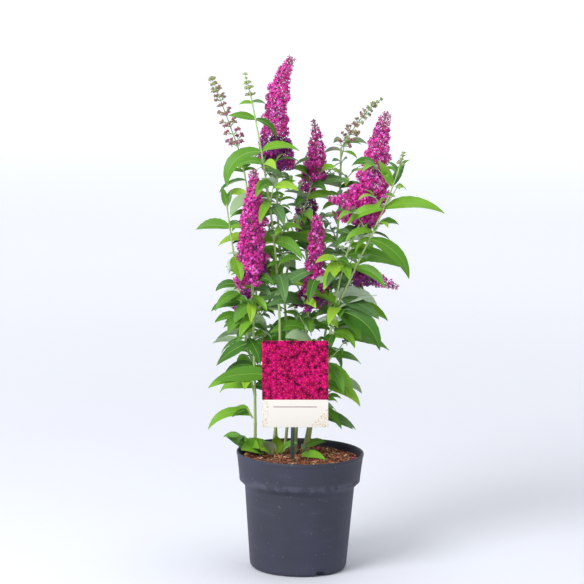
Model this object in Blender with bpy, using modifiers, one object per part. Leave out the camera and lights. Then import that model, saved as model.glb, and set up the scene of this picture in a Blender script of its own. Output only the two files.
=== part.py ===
"""A butterfly bush in its nursery pot.

Metres, +Z up. The origin is the centre of the pot's flat underside and -Y is the front, where the label
stands. Every stem and bough is one cubic curve with four handles. A shoot is bare up to a share of its length,
and leafy from there to its tip, where a flower panicle or a spike of buds goes on from it. Leaves stand in
opposite pairs.
"""

import math
import random
from dataclasses import dataclass

import bmesh
import bpy
from mathutils import Matrix, Vector
from mathutils.bvhtree import BVHTree

# ---------------------------------------------------------------- driving sizes

CLEAR = 0.0003

POT_HEIGHT = 0.196
POT_RIM_RADIUS = 0.105
POT_COLLAR_RADIUS = 0.100
POT_COLLAR_HEIGHT = 0.048
POT_STEP_HEIGHT = 0.009
POT_BODY_RADIUS = 0.091
POT_BASE_RADIUS = 0.080
POT_CORNER = 0.009
POT_WALL = 0.0022
POT_FLOOR = 0.003
POT_STEPS = 32
NOTCH_COUNT = 3
NOTCH_PHASE = 0.493
NOTCH_SIZE = (0.018, 0.0036, 0.012)
SOIL_LEVEL = 0.185

LABEL_WIDTH = 0.109
LABEL_HEIGHT = 0.145
LABEL_THICKNESS = 0.0009
LABEL_CORNER = 0.0025
LABEL_CENTRE = (-0.0105, -0.0235, 0.3135)
LABEL_TILT = math.radians(-1.1)
STICK_WIDTH = 0.0066
STICK_THICKNESS = 0.0024
STICK_TOP = 0.300

LIMB_SIDES = 6
LIMB_STEPS = 6
AXIS_SIDES = 4
AXIS_STEPS = 5
LONG_LEAF = 0.058
LEAF_WIDTH_SHARE = 0.27
LEAF_KEEL_SHARE = 0.026
PETIOLE = 0.0011
ROOT_DEPTH = 0.0005
TWIG_RADIUS = 0.0011
STALK_RADIUS = 0.0011
NODE_STEP = 0.0009
BUD_SPACING = 0.017
BUD_SIZE = 0.0045
BUD_TURN = 1.75
AXIL_SHARE = 0.22
FOOT_DEPTH = 0.004
FOOT_EASE = 1.8
FLARE = 0.0012
FLARE_HEIGHT = 0.012
WHORL = 0.019
LUMP_SIDES = 6
CROWN_LOW = Vector((-0.168, -0.150, SOIL_LEVEL + 0.002))
CROWN_HIGH = Vector((0.234, 0.205, 0.850))

# ---------------------------------------------------------------- what a shoot is


@dataclass(frozen=True)
class Pair:
    """Two opposite leaves at one node. Angles are degrees; bearing is from +X, seen from above."""

    at: float
    bearing: float
    length: float
    rise: float = 35.0
    droop: float = 75.0
    mate: float = 0.9


@dataclass(frozen=True)
class Side:
    """A flowering side branch at the foot of a panicle."""

    at: float
    bearing: float
    length: float
    rise: float = 25.0


@dataclass(frozen=True)
class Panicle:
    """A tapering flower head that goes on from a shoot's tip."""

    name: str
    path: tuple
    width: float
    sides: tuple = ()


@dataclass(frozen=True)
class Buds:
    """A bare spike of unopened buds that goes on from a shoot's tip."""

    tip: tuple
    width: float


@dataclass(frozen=True)
class Shoot:
    """A stem, bough or side twig: its curve, where it grows from, and what it carries."""

    name: str
    path: tuple
    radii: tuple = (0.0022, 0.0015)
    host: str = ""
    at: float = 0.0
    bare: float = 1.0
    mass: str = ""
    pairs: tuple = ()
    panicle: Panicle = None
    buds: Buds = None


def regular_pairs(count, first, phase, longest, shortest, rise=35.0, droop=75.0):
    """Pairs evenly spaced from first to the tip, each turned a quarter from the last, shorter upwards."""
    pairs = []
    for k in range(count):
        share = k / max(count - 1, 1)
        at = first + (0.97 - first) * share
        length = longest + (shortest - longest) * share
        pairs.append(Pair(at, phase + 90.0 * k, length, rise + 10.0 * share, droop - 15.0 * share))
    return tuple(pairs)


def side_twig(name, host, at, bearing, length, rise, pairs):
    """A short leafy twig low on a stem; its handles lie along its bearing and rise, bending up a little."""
    angle = math.radians(bearing)
    slope = math.radians(rise)
    reach = Vector((math.cos(angle) * math.cos(slope), math.sin(angle) * math.cos(slope), math.sin(slope)))
    handles = tuple(tuple(reach * length * k / 3 + Vector((0, 0, length * 0.05 * k * k))) for k in range(4))
    return Shoot(name, handles, (0.0015, 0.0012), host, at, 0.0, name, pairs)


# ---------------------------------------------------------------- the plant

STEMS = (
    Shoot(
        "stem_left",
        ((-0.075, 0.030, SOIL_LEVEL), (-0.076, 0.032, 0.288), (-0.081, 0.019, 0.391), (-0.085, -0.02, 0.485)),
        (0.0025, 0.0017), bare=0.66, mass="leaves_left",
        pairs=(
            Pair(0.72, 35, 0.050, -10, 55),
            Pair(0.79, 236, 0.050, -25, 40, 1.1),
            Pair(0.88, 262, 0.045, -35, 35, 1.2),
            Pair(0.95, 330, 0.042, 20, 60),
        ),
        panicle=Panicle(
            "bloom_left",
            ((-0.085, -0.02, 0.485), (-0.084, -0.025, 0.546), (-0.082, -0.033, 0.608), (-0.085, -0.03, 0.669)),
            0.052, (Side(0.02, 205, 0.036, -28), Side(0.02, 10, 0.034, -20), Side(0.12, 100, 0.030, 20)),
        ),
    ),
    Shoot(
        "stem_tall",
        ((-0.047, 0.02, SOIL_LEVEL), (-0.021, 0.007, 0.392), (-0.048, -0.036, 0.591), (-0.091, -0.025, 0.786)),
        (0.0026, 0.0012), bare=0.47, mass="leaves_tall",
        pairs=(
            Pair(0.51, 285, 0.075, 5, 75),
            Pair(0.60, 325, 0.070, 10, 70),
            Pair(0.69, 120, 0.066, 20, 80, 1.0),
            Pair(0.77, 242, 0.050, 0, 50, 0.9),
            Pair(0.85, 190, 0.094, 6, 106, 0.0),
            Pair(0.85, 10, 0.066, 34, 64, 0.0),
            Pair(0.94, 178, 0.046, 28, 34, 0.0),
            Pair(0.94, 2, 0.050, -6, 66, 0.0),
            Pair(0.985, 185, 0.024, 25, 60, 1.0),
        ),
        buds=Buds((-0.102, -0.025, 0.825), 0.014),
    ),
    Shoot(
        "stem_mid",
        ((-0.027, 0.050, SOIL_LEVEL), (-0.006, 0.053, 0.343), (-0.046, 0.047, 0.495), (-0.047, 0.035, 0.651)),
        (0.0025, 0.0017), bare=0.64, mass="leaves_mid",
        pairs=(
            Pair(0.68, 75, 0.085, 15, 80),
            Pair(0.77, 340, 0.070, 20, 60),
            Pair(0.86, 60, 0.060, 25, 60),
            Pair(0.95, 345, 0.038, 50, 50),
        ),
        panicle=Panicle(
            "bloom_tall",
            ((-0.047, 0.035, 0.651), (-0.040, 0.036, 0.716), (-0.065, 0.027, 0.789), (-0.025, 0.030, 0.847)),
            0.057, (Side(0.04, 0, 0.030, 10), Side(0.04, 150, 0.026, 15), Side(0.14, 80, 0.030, 20)),
        ),
    ),
    Shoot(
        "stem_centre",
        ((-0.012, 0.030, SOIL_LEVEL), (-0.002, 0.032, 0.274), (0.000, 0.027, 0.363), (0.011, 0.000, 0.445)),
        (0.0024, 0.0016), bare=0.62, mass="leaves_centre",
        pairs=(
            Pair(0.66, 185, 0.072, 25, 60, 0.9),
            Pair(0.74, 80, 0.070, 20, 70, 0),
            Pair(0.82, 200, 0.066, 25, 70, 0.8),
            Pair(0.90, 275, 0.050, 0, 50, 1.1),
            Pair(0.97, 350, 0.044, 25, 70),
        ),
        panicle=Panicle(
            "bloom_centre",
            ((0.011, 0.000, 0.445), (0.017, -0.006, 0.495), (0.021, -0.019, 0.545), (0.020, -0.015, 0.596)),
            0.034, (Side(0.05, 190, 0.026, 0), Side(0.05, 340, 0.026, 10)),
        ),
    ),
    Shoot(
        "stem_right",
        ((0.005, 0.030, SOIL_LEVEL), (0.020, 0.028, 0.282), (0.045, 0.011, 0.369), (0.055, -0.005, 0.457)),
        (0.0027, 0.0021),
    ),
    Shoot(
        "stem_back_right",
        ((0.012, 0.060, SOIL_LEVEL), (0.033, 0.091, 0.345), (0.064, 0.105, 0.521), (0.058, 0.100, 0.692)),
        (0.0025, 0.0014), bare=0.48, mass="leaves_back_right",
        pairs=(
            Pair(0.51, 20, 0.095, 25, 75),
            Pair(0.60, 110, 0.090, 25, 80),
            Pair(0.69, 10, 0.082, 30, 75),
            Pair(0.78, 80, 0.070, 30, 70),
            Pair(0.87, 350, 0.050, 30, 60, 1.2),
            Pair(0.95, 60, 0.034, 35, 60),
        ),
        buds=Buds((0.125, 0.100, 0.776), 0.024),
    ),
    Shoot(
        "stem_back_left",
        ((-0.038, 0.058, SOIL_LEVEL), (-0.046, 0.070, 0.290), (-0.078, 0.110, 0.400), (-0.086, 0.128, 0.500)),
        (0.0025, 0.0016), bare=0.50, mass="leaves_back_left",
        pairs=regular_pairs(5, 0.56, 150.0, 0.095, 0.055),
        panicle=Panicle(
            "bloom_back_left",
            ((-0.086, 0.128, 0.500), (-0.086, 0.133, 0.545), (-0.087, 0.136, 0.590), (-0.086, 0.138, 0.632)),
            0.042, (Side(0.06, 140, 0.026, 10), Side(0.08, 40, 0.024, 15)),
        ),
    ),
    Shoot(
        "stem_back",
        ((-0.008, 0.078, SOIL_LEVEL), (-0.004, 0.088, 0.300), (0.012, 0.130, 0.420), (0.004, 0.150, 0.535)),
        (0.0024, 0.0016), bare=0.50, mass="leaves_back",
        pairs=regular_pairs(5, 0.56, 30.0, 0.092, 0.060),
        panicle=Panicle(
            "bloom_back",
            ((0.004, 0.150, 0.535), (0.004, 0.155, 0.590), (0.009, 0.158, 0.640), (0.012, 0.160, 0.692)),
            0.044, (Side(0.06, 60, 0.028, 10), Side(0.08, 200, 0.024, 15)),
        ),
    ),
)

BOUGHS = (
    Shoot(
        "bough_left_outer",
        ((-0.080, 0.015, 0.372), (-0.100, -0.004, 0.444), (-0.113, -0.023, 0.527), (-0.128, -0.030, 0.611)),
        (0.0018, 0.0012), "stem_left", 0.56, bare=0.30, mass="leaves_left_outer",
        pairs=(
            Pair(0.36, 185, 0.056, 25, 70, 0.8),
            Pair(0.48, 175, 0.044, 35, 90, 0.9),
            Pair(0.66, 300, 0.048, -40, 35, 0.8),
            Pair(0.85, 178, 0.056, 18, 48, 0.6),
            Pair(0.985, 200, 0.036, 75, 10, 0.8),
        ),
    ),
    Shoot(
        "bough_left_spike",
        ((-0.082, 0.012, 0.405), (-0.089, 0.040, 0.501), (-0.081, 0.050, 0.600), (-0.111, 0.050, 0.691)),
        (0.0017, 0.0011), "stem_left", 0.63, bare=0.34, mass="leaves_left_spike",
        pairs=(
            Pair(0.40, 130, 0.075, 25, 80),
            Pair(0.52, 190, 0.060, 25, 70),
            Pair(0.63, 90, 0.055, 25, 70),
            Pair(0.75, 160, 0.045, 30, 70),
            Pair(0.88, 185, 0.026, 35, 60),
        ),
        buds=Buds((-0.159, 0.050, 0.812), 0.030),
    ),
    Shoot(
        "bough_centre",
        ((-0.031, 0.049, 0.490), (-0.022, 0.058, 0.550), (-0.002, 0.070, 0.590), (0.013, 0.075, 0.640)),
        (0.0017, 0.0012), "stem_mid", 0.61, bare=0.35, mass="leaves_bough_centre",
        pairs=(
            Pair(0.42, 20, 0.060, 20, 70),
            Pair(0.62, 95, 0.055, 20, 60),
            Pair(0.82, 345, 0.050, 35, 60, 0.9),
            Pair(0.97, 10, 0.044, 50, 60, 0.8),
        ),
        panicle=Panicle(
            "bloom_bough_centre",
            ((0.013, 0.075, 0.640), (0.014, 0.075, 0.674), (0.019, 0.075, 0.708), (0.011, 0.075, 0.742)),
            0.040, (Side(0.03, 0, 0.034, -15), Side(0.03, 200, 0.026, -5)),
        ),
    ),
    Shoot(
        "bough_upper",
        ((0.055, -0.005, 0.457), (0.059, 0.003, 0.501), (0.072, -0.001, 0.542), (0.092, 0.000, 0.582)),
        (0.0018, 0.0014), "stem_right", 1.0, bare=0.24, mass="leaves_upper",
        pairs=(
            Pair(0.30, 65, 0.066, 20, 70),
            Pair(0.56, 12, 0.096, 6, 50, 0.72),
            Pair(0.81, 245, 0.056, 20, 80, 0.8),
        ),
        panicle=Panicle(
            "bloom_upper",
            ((0.092, 0.000, 0.582), (0.087, 0.000, 0.646), (0.109, 0.000, 0.706), (0.132, 0.000, 0.765)),
            0.058,
            (
                Side(0.10, 182, 0.070, 8),
                Side(0.04, 200, 0.042, -15),
                Side(0.04, 350, 0.026, -20),
                Side(0.12, 75, 0.034, 15),
            ),
        ),
    ),
    Shoot(
        "bough_right",
        ((0.058, -0.008, 0.448), (0.092, -0.016, 0.530), (0.129, -0.049, 0.601), (0.152, -0.045, 0.681)),
        (0.0018, 0.0011), "stem_right", 0.95, bare=0.22, mass="leaves_right",
        pairs=(
            Pair(0.26, 325, 0.070, 10, 70, 0.8),
            Pair(0.48, 350, 0.098, -10, 72, 0.40),
            Pair(0.70, 357, 0.104, 28, 52, 0.0),
            Pair(0.70, 180, 0.072, 8, 70, 0.0),
            Pair(0.86, 215, 0.054, 65, 10, 0.9),
            Pair(0.97, 175, 0.026, 60, 40, 1.0),
        ),
        buds=Buds((0.158, -0.044, 0.703), 0.011),
    ),
    Shoot(
        "bough_low_right",
        ((0.053, 0.006, 0.440), (0.060, 0.016, 0.463), (0.068, 0.022, 0.476), (0.080, 0.026, 0.480)),
        (0.0015, 0.0013), "stem_right", 0.86, bare=1.0,
        panicle=Panicle(
            "bloom_low_right",
            ((0.080, 0.026, 0.480), (0.103, 0.030, 0.483), (0.130, 0.030, 0.479), (0.156, 0.026, 0.470)),
            0.036, (Side(0.05, 60, 0.026, 10),),
        ),
    ),
    Shoot(
        "bough_back_right",
        ((0.030, 0.082, 0.330), (0.058, 0.108, 0.380), (0.092, 0.126, 0.450), (0.098, 0.138, 0.545)),
        (0.0018, 0.0014), "stem_back_right", 0.30, bare=0.35, mass="leaves_back_bough_right",
        pairs=regular_pairs(4, 0.45, 320.0, 0.090, 0.060),
        panicle=Panicle(
            "bloom_back_right",
            ((0.098, 0.138, 0.545), (0.099, 0.142, 0.580), (0.103, 0.146, 0.615), (0.106, 0.150, 0.650)),
            0.040, (Side(0.05, 20, 0.028, 10), Side(0.08, 160, 0.026, 15)),
        ),
    ),
    Shoot(
        "bough_back_left",
        ((-0.048, 0.070, 0.330), (-0.070, 0.090, 0.345), (-0.098, 0.102, 0.362), (-0.100, 0.108, 0.412)),
        (0.0017, 0.0013), "stem_back_left", 0.30, bare=0.35, mass="leaves_back_bough_left",
        pairs=regular_pairs(4, 0.45, 250.0, 0.085, 0.055),
        panicle=Panicle(
            "bloom_back_left_low",
            ((-0.100, 0.108, 0.412), (-0.100, 0.110, 0.432), (-0.096, 0.112, 0.452), (-0.090, 0.114, 0.474)),
            0.036, (Side(0.05, 90, 0.022, 10),),
        ),
    ),
)

TWIGS = (
    side_twig(
        "leaves_low_left_upper", "stem_left", 0.42, 188, 0.010, 35,
        (
            Pair(0.45, 170, 0.086, 28, 62, 0),
            Pair(0.97, 255, 0.050, 0, 60, 0),
            Pair(0.80, 120, 0.062, 25, 70, 0),
        ),
    ),
    side_twig(
        "leaves_low_left", "stem_left", 0.20, 195, 0.016, 35,
        (
            Pair(0.40, 183, 0.086, 32, 100, 0),
            Pair(0.97, 215, 0.034, -5, 30, 0),
            Pair(0.70, 130, 0.060, 20, 70, 0),
        ),
    ),
    side_twig(
        "leaves_low_left_back", "stem_left", 0.32, 110, 0.030, 40,
        (Pair(0.45, 150, 0.078, 25, 80, 0.9), Pair(0.95, 60, 0.070, 30, 85, 0.9)),
    ),
    side_twig(
        "leaves_low_right_upper", "stem_right", 0.74, 8, 0.010, 30,
        (Pair(0.45, 4, 0.106, 5, 50, 0), Pair(0.97, 60, 0.070, 20, 70, 0)),
    ),
    side_twig(
        "leaves_low_right_middle", "stem_right", 0.56, 350, 0.016, 30,
        (
            Pair(0.30, 322, 0.062, -35, 40, 0),
            Pair(0.55, 355, 0.058, -25, 40, 0),
            Pair(0.97, 25, 0.064, 20, 70, 0),
        ),
    ),
    side_twig(
        "leaves_low_right_bright", "stem_right", 0.40, 0, 0.018, 30,
        (
            Pair(0.55, 2, 0.078, 10, 80, 0),
            Pair(0.97, 335, 0.046, -10, 40, 0),
            Pair(0.80, 60, 0.060, 20, 70, 0),
        ),
    ),
    side_twig(
        "leaves_low_right", "stem_right", 0.22, 5, 0.024, 30,
        (
            Pair(0.35, 350, 0.068, 5, 40, 0),
            Pair(0.60, 10, 0.074, -5, 45, 0),
            Pair(0.97, 318, 0.054, -20, 35, 0),
            Pair(0.80, 60, 0.060, 20, 70, 0),
        ),
    ),
    side_twig(
        "leaves_fork", "stem_right", 0.90, 335, 0.010, 30,
        (Pair(0.45, 345, 0.104, 2, 82, 0), Pair(0.97, 250, 0.066, 15, 70, 0)),
    ),
    side_twig(
        "leaves_low_tall", "stem_tall", 0.20, 200, 0.020, 25,
        (Pair(0.97, 186, 0.094, 8, 26, 0), Pair(0.50, 150, 0.060, 25, 65, 0)),
    ),
    side_twig(
        "leaves_low_back", "stem_back", 0.26, 95, 0.034, 35,
        (Pair(0.45, 60, 0.082, 25, 85, 1.0), Pair(0.95, 150, 0.074, 30, 90, 0.9)),
    ),
    side_twig(
        "leaves_low_back_right", "stem_back_right", 0.20, 30, 0.034, 35,
        (Pair(0.45, 10, 0.078, 25, 85, 0.9), Pair(0.95, 90, 0.070, 30, 85, 0.9)),
    ),
    side_twig(
        "leaves_foot_left", "stem_left", 0.035, 215, 0.012, 20,
        (
            Pair(0.30, 180, 0.052, 32, 12, 0),
            Pair(0.55, 235, 0.040, 25, 30, 0),
            Pair(0.97, 205, 0.036, 28, 30, 0),
            Pair(0.97, 290, 0.038, 20, 30, 0),
        ),
    ),
    side_twig(
        "leaves_foot_right", "stem_right", 0.03, 300, 0.012, 25,
        (
            Pair(0.30, 305, 0.050, 25, 30, 0),
            Pair(0.60, 255, 0.040, 35, 40, 0),
            Pair(0.97, 15, 0.036, 40, 60, 0),
        ),
    ),
)

# ---------------------------------------------------------------- curves


class Path:
    """A cubic curve through space with a radius that tapers along it."""

    def __init__(self, handles, radii, foot=False):
        self.handles = [Vector(h) for h in handles]
        self.radii = radii
        self.foot = foot

    def point(self, t):
        a, b, c, d = self.handles
        u = 1.0 - t
        return a * u**3 + b * (3 * u * u * t) + c * (3 * u * t * t) + d * t**3

    def direction(self, t):
        low = max(t - 0.01, 0.0)
        high = min(t + 0.01, 1.0)
        return (self.point(high) - self.point(low)).normalized()

    def radius(self, t):
        thick = self.radii[0] + (self.radii[1] - self.radii[0]) * t
        if self.foot:
            thick += FLARE * math.exp(-(self.point(t).z - SOIL_LEVEL) / FLARE_HEIGHT)
        return thick

    def between(self, start, end, steps):
        """Points and radii from share start, set 0.3 mm on where that isn't the foot, to share end."""
        ease = FOOT_EASE if self.foot and start == 0.0 else 1.0
        shares = [start + (end - start) * (k / steps) ** ease for k in range(steps + 1)]
        points = [self.point(t) for t in shares]
        if start > 0.0:
            points[0] = points[0] + self.direction(start) * CLEAR
        return points, [self.radius(t) for t in shares]

    def length(self):
        points = [self.point(k / 20) for k in range(21)]
        return sum((b - a).length for a, b in zip(points, points[1:]))


def sprout(shoot, hosts):
    """The shoot's Path. One that grows from a host starts beside it, or on its tip, 0.3 mm clear."""
    if not shoot.host:
        stem = Path(shoot.path, shoot.radii, foot=True)
        stem.handles[0].z = SOIL_LEVEL - FOOT_DEPTH
        return stem
    host = hosts[shoot.host]
    handles = [Vector(h) for h in shoot.path]
    if shoot.mass == shoot.name:
        handles = [h + host.point(shoot.at) for h in handles]
    if shoot.at >= 1.0:
        return carried_on(handles, shoot.radii, host)
    grain = host.direction(shoot.at)
    heading = (handles[1] - handles[0]).normalized()
    side = heading - grain * heading.dot(grain)
    gap = host.radius(shoot.at) + shoot.radii[0] * abs(heading.dot(grain)) + CLEAR * 2
    moved = host.point(shoot.at) + side.normalized() * gap - handles[0]
    shares = (1.0, 0.7, 0.3, 0.0)
    return Path([handle + moved * share for handle, share in zip(handles, shares)], shoot.radii)


def carried_on(handles, radii, host):
    """A Path that goes on from its host's tip, 0.3 mm clear and in line with it."""
    grain = host.direction(1.0)
    foot = host.point(1.0) + grain * CLEAR * 1.2
    step = (Vector(handles[1]) - Vector(handles[0])).length
    return Path([foot, foot + grain * step, handles[2], handles[3]], radii)


# ---------------------------------------------------------------- meshes


def solid_from(name, vertices, faces):
    """A mesh object from a loft's corners and faces, with its faces pointing out."""
    mesh = bpy.data.meshes.new(name)
    mesh.from_pydata([tuple(v) for v in vertices], [], faces)
    bm = bmesh.new()
    bm.from_mesh(mesh)
    bmesh.ops.recalc_face_normals(bm, faces=bm.faces)
    bmesh.ops.triangulate(bm, faces=bm.faces)
    bm.to_mesh(mesh)
    bm.free()
    return bpy.data.objects.new(name, mesh)


def limb_solid(name, points, radii, sides=LIMB_SIDES):
    """A tapering limb as a bevelled curve with filled caps, made a mesh."""
    curve = bpy.data.curves.new(name, "CURVE")
    curve.dimensions = "3D"
    curve.bevel_depth = 0.001
    curve.bevel_resolution = (sides - 4) // 2
    curve.use_fill_caps = True
    spline = curve.splines.new("POLY")
    spline.points.add(len(points) - 1)
    for spot, place, radius in zip(spline.points, points, radii):
        spot.co = (*place, 1.0)
        spot.radius = radius / curve.bevel_depth
    guide = bpy.data.objects.new(name + "_curve", curve)
    bpy.context.scene.collection.objects.link(guide)
    mesh = bpy.data.meshes.new_from_object(guide.evaluated_get(bpy.context.evaluated_depsgraph_get()))
    bpy.data.objects.remove(guide)
    bm = bmesh.new()
    bm.from_mesh(mesh)
    bmesh.ops.remove_doubles(bm, verts=bm.verts, dist=0.00001)
    bmesh.ops.recalc_face_normals(bm, faces=bm.faces)
    bm.to_mesh(mesh)
    bm.free()
    return bpy.data.objects.new(name, mesh)


def cut_flat(thing, height):
    """Cuts a solid off flat at a height and closes the cut."""
    bm = bmesh.new()
    bm.from_mesh(thing.data)
    geometry = bm.verts[:] + bm.edges[:] + bm.faces[:]
    bmesh.ops.bisect_plane(bm, geom=geometry, plane_co=(0, 0, height), plane_no=(0, 0, -1), clear_outer=True)
    bmesh.ops.holes_fill(bm, edges=[e for e in bm.edges if e.is_boundary])
    bmesh.ops.recalc_face_normals(bm, faces=bm.faces)
    bm.to_mesh(thing.data)
    bm.free()


def leaf_half_width(s, width):
    """Half the blade's width at share s of its length: widest at two fifths, drawn out to a fine tip."""
    return 0.5 * width * math.sin(math.pi * s**0.76) ** 0.85


@dataclass(frozen=True)
class Leaf:
    """One leaf: where it is rooted and how it arches. Angles are degrees."""

    root: Vector
    bearing: float
    rise: float
    droop: float
    length: float
    twist: float = 0.0
    curl: float = 0.0
    share: float = LEAF_WIDTH_SHARE

    def stations(self, shares):
        """(centre, across, up) at each share of the length, along an arc that bends down and sideways."""
        steps = 24
        spots = [self.root.copy()]
        frames = []
        for k in range(steps + 1):
            s = k / steps
            slope = math.radians(self.rise - self.droop * s)
            turn = math.radians(self.bearing + self.curl * s)
            flat = math.cos(slope)
            along = Vector((math.cos(turn) * flat, math.sin(turn) * flat, math.sin(slope)))
            level = Vector((-math.sin(turn), math.cos(turn), 0.0))
            across = Matrix.Rotation(math.radians(self.twist), 3, along) @ level
            frames.append((across, along.cross(across)))
            spots.append(spots[-1] + along * self.length / steps)
        return [(spots[round(s * steps)], *frames[round(s * steps)]) for s in shares]

    def solid(self, name, grow=0.0, start=0.0):
        """The leaf as a thin keeled blade of three-cornered sections, drawn to a point."""
        shares = (start, 0.25, 0.625, 1.0) if self.length > LONG_LEAF else (start, 0.42, 1.0)
        stations = self.stations(shares)
        width = self.length * self.share
        keel = self.length * LEAF_KEEL_SHARE
        vertices = []
        for (centre, across, up), s in zip(stations[:-1], shares):
            half = max(leaf_half_width(s, width), PETIOLE * 0.7) + grow
            depth = PETIOLE if s == 0.0 else keel
            vertices.append(centre + across * half + up * (depth * 0.4 + grow))
            vertices.append(centre - across * half + up * (depth * 0.4 + grow))
            vertices.append(centre - up * (depth * 0.6 + grow))
        vertices.append(stations[-1][0])
        faces = [(0, 1, 2)]
        for ring in range(0, len(vertices) - 4, 3):
            for k in range(3):
                n = (k + 1) % 3
                faces.append((ring + k, ring + n, ring + 3 + n, ring + 3 + k))
        tip = len(vertices) - 1
        faces += [(tip - 3, tip - 2, tip), (tip - 2, tip - 1, tip), (tip - 1, tip - 3, tip)]
        return solid_from(name, vertices, faces)


def lumpy_spindle(name, path, width, start, rng):
    """A flower head as one closed loft: a short stalk, then whorls of blossom that swell and draw in."""
    rings = max(4, round(path.length() * (1.0 - start) / WHORL) * 2)
    vertices = []
    shares = [0.0, start * 0.9] + [start + (1.0 - start) * (k + 0.5) / rings for k in range(rings)]
    for k, t in enumerate(shares):
        centre = path.point(t)
        along = path.direction(t)
        level = along.cross(Vector((0.0, 1.0, 0.3))).normalized()
        other = along.cross(level)
        left = (1.0 - t) / (1.0 - start)
        reach = path.radius(t) if k < 2 else 0.5 * width * head_width(left) * (0.76 if k % 2 else 1.06)
        for side in range(LUMP_SIDES):
            angle = 2.0 * math.pi * (side + 0.5 * (k % 2)) / LUMP_SIDES
            rough = 1.0 if k < 2 else rng.uniform(0.86, 1.12)
            vertices.append(centre + (level * math.cos(angle) + other * math.sin(angle)) * reach * rough)
    vertices.append(path.point(1.0))
    last = len(vertices) - 1
    faces = [tuple(range(LUMP_SIDES))]
    for k in range(len(shares) - 1):
        for side in range(LUMP_SIDES):
            near = k * LUMP_SIDES
            n = (side + 1) % LUMP_SIDES
            faces.append((near + side, near + n, near + LUMP_SIDES + n, near + LUMP_SIDES + side))
    top = last - LUMP_SIDES
    faces += [(top + side, top + (side + 1) % LUMP_SIDES, last) for side in range(LUMP_SIDES)]
    return solid_from(name, vertices, faces)


def head_width(left):
    """A flower head's width, as a share of its greatest, where left is the share of it still above."""
    return (0.22 + 0.78 * left**0.62) * (1.0 - 0.12 * max(left - 0.85, 0.0) / 0.15)


def whorl_of_buds(name, centre, reach, size, turn):
    """A knot of buds each side of a stalk, as one eight-faced lump drawn out across it."""
    bm = bmesh.new()
    bmesh.ops.create_uvsphere(bm, u_segments=4, v_segments=2, radius=1.0)
    shape = Matrix.Translation(centre) @ Matrix.Rotation(turn, 4, "Z")
    shape = shape @ Matrix.Diagonal((reach, size, size, 1.0))
    bmesh.ops.transform(bm, matrix=shape, verts=bm.verts)
    mesh = bpy.data.meshes.new(name)
    bm.to_mesh(mesh)
    bm.free()
    return bpy.data.objects.new(name, mesh)


# ---------------------------------------------------------------- keeping clear


class Room:
    """What stands already, and whose it is. A piece that would touch any of it has no room."""

    def __init__(self):
        self.taken = []

    def take(self, owner, thing, outer=None):
        """Adds a solid. outer is the part of it that its own mass's pieces keep off, or None."""
        self.taken.append((owner, tree_of(thing), tree_of(outer) if outer else None))

    def free(self, owner, piece, outer):
        """Whether a piece lies inside the crown, behind the label's face, and clear of every solid."""
        corners = [v.co for v in piece.data.vertices]
        if any(corner[k] < CROWN_LOW[k] or corner[k] > CROWN_HIGH[k] for corner in corners for k in range(3)):
            return False
        if any(in_front_of_label(corner) for corner in corners):
            return False
        whole = tree_of(piece)
        rest = tree_of(outer)
        for other, full, apart in self.taken:
            if other != owner and whole.overlap(full):
                return False
            if other == owner and apart and rest.overlap(apart):
                return False
        return True


def tree_of(thing):
    """A search tree of a thing's evaluated faces, in world space."""
    mesh = thing.data
    if thing.modifiers:
        mesh = thing.evaluated_get(bpy.context.evaluated_depsgraph_get()).to_mesh()
    corners = [thing.matrix_world @ v.co for v in mesh.vertices]
    return BVHTree.FromPolygons(corners, [tuple(p.vertices) for p in mesh.polygons])


def in_front_of_label(spot):
    """Whether a point would hide the label's face."""
    return (
        abs(spot.x - LABEL_CENTRE[0]) < LABEL_WIDTH / 2 + 0.002
        and abs(spot.z - LABEL_CENTRE[2]) < LABEL_HEIGHT / 2 + 0.003
        and spot.y < LABEL_CENTRE[1] + 0.004
    )


def drop(piece):
    """Removes an object and its mesh."""
    mesh = piece.data
    bpy.data.objects.remove(piece)
    bpy.data.meshes.remove(mesh)


def largest_body(mesh):
    """Keeps the biggest closed body of a mesh: loose scraps and the skins of sealed hollows go."""
    bm = bmesh.new()
    bm.from_mesh(mesh)
    bmesh.ops.triangulate(bm, faces=bm.faces)
    waiting = set(bm.faces)
    bodies = []
    while waiting:
        body = set()
        edge = [waiting.pop()]
        while edge:
            face = edge.pop()
            body.add(face)
            for line in face.edges:
                for other in line.link_faces:
                    if other in waiting:
                        waiting.remove(other)
                        edge.append(other)
        bodies.append(body)
    bodies.sort(key=lambda faces: -sum(f.calc_area() for f in faces))
    for body in bodies[1:]:
        bmesh.ops.delete(bm, geom=list(body), context="FACES")
    loose = [v for v in bm.verts if not v.link_faces]
    bmesh.ops.delete(bm, geom=loose, context="VERTS")
    bm.to_mesh(mesh)
    bm.free()


def fuse(name, pieces):
    """Joins overlapping solids into one with a Boolean union on a collection, and removes the pieces."""
    body = pieces[0]
    if len(pieces) > 1:
        bpy.context.scene.collection.objects.link(body)
        others = bpy.data.collections.new(name + "_pieces")
        bpy.context.scene.collection.children.link(others)
        for piece in pieces[1:]:
            others.objects.link(piece)
        join = body.modifiers.new("join", "BOOLEAN")
        join.operation = "UNION"
        join.operand_type = "COLLECTION"
        join.collection = others
        join.solver = "EXACT"
        fused = bpy.data.meshes.new_from_object(body.evaluated_get(bpy.context.evaluated_depsgraph_get()))
        for piece in pieces:
            drop(piece)
        bpy.data.collections.remove(others)
        body = bpy.data.objects.new(name, fused)
    body.name = name
    largest_body(body.data)
    return body


# ---------------------------------------------------------------- growing


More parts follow.
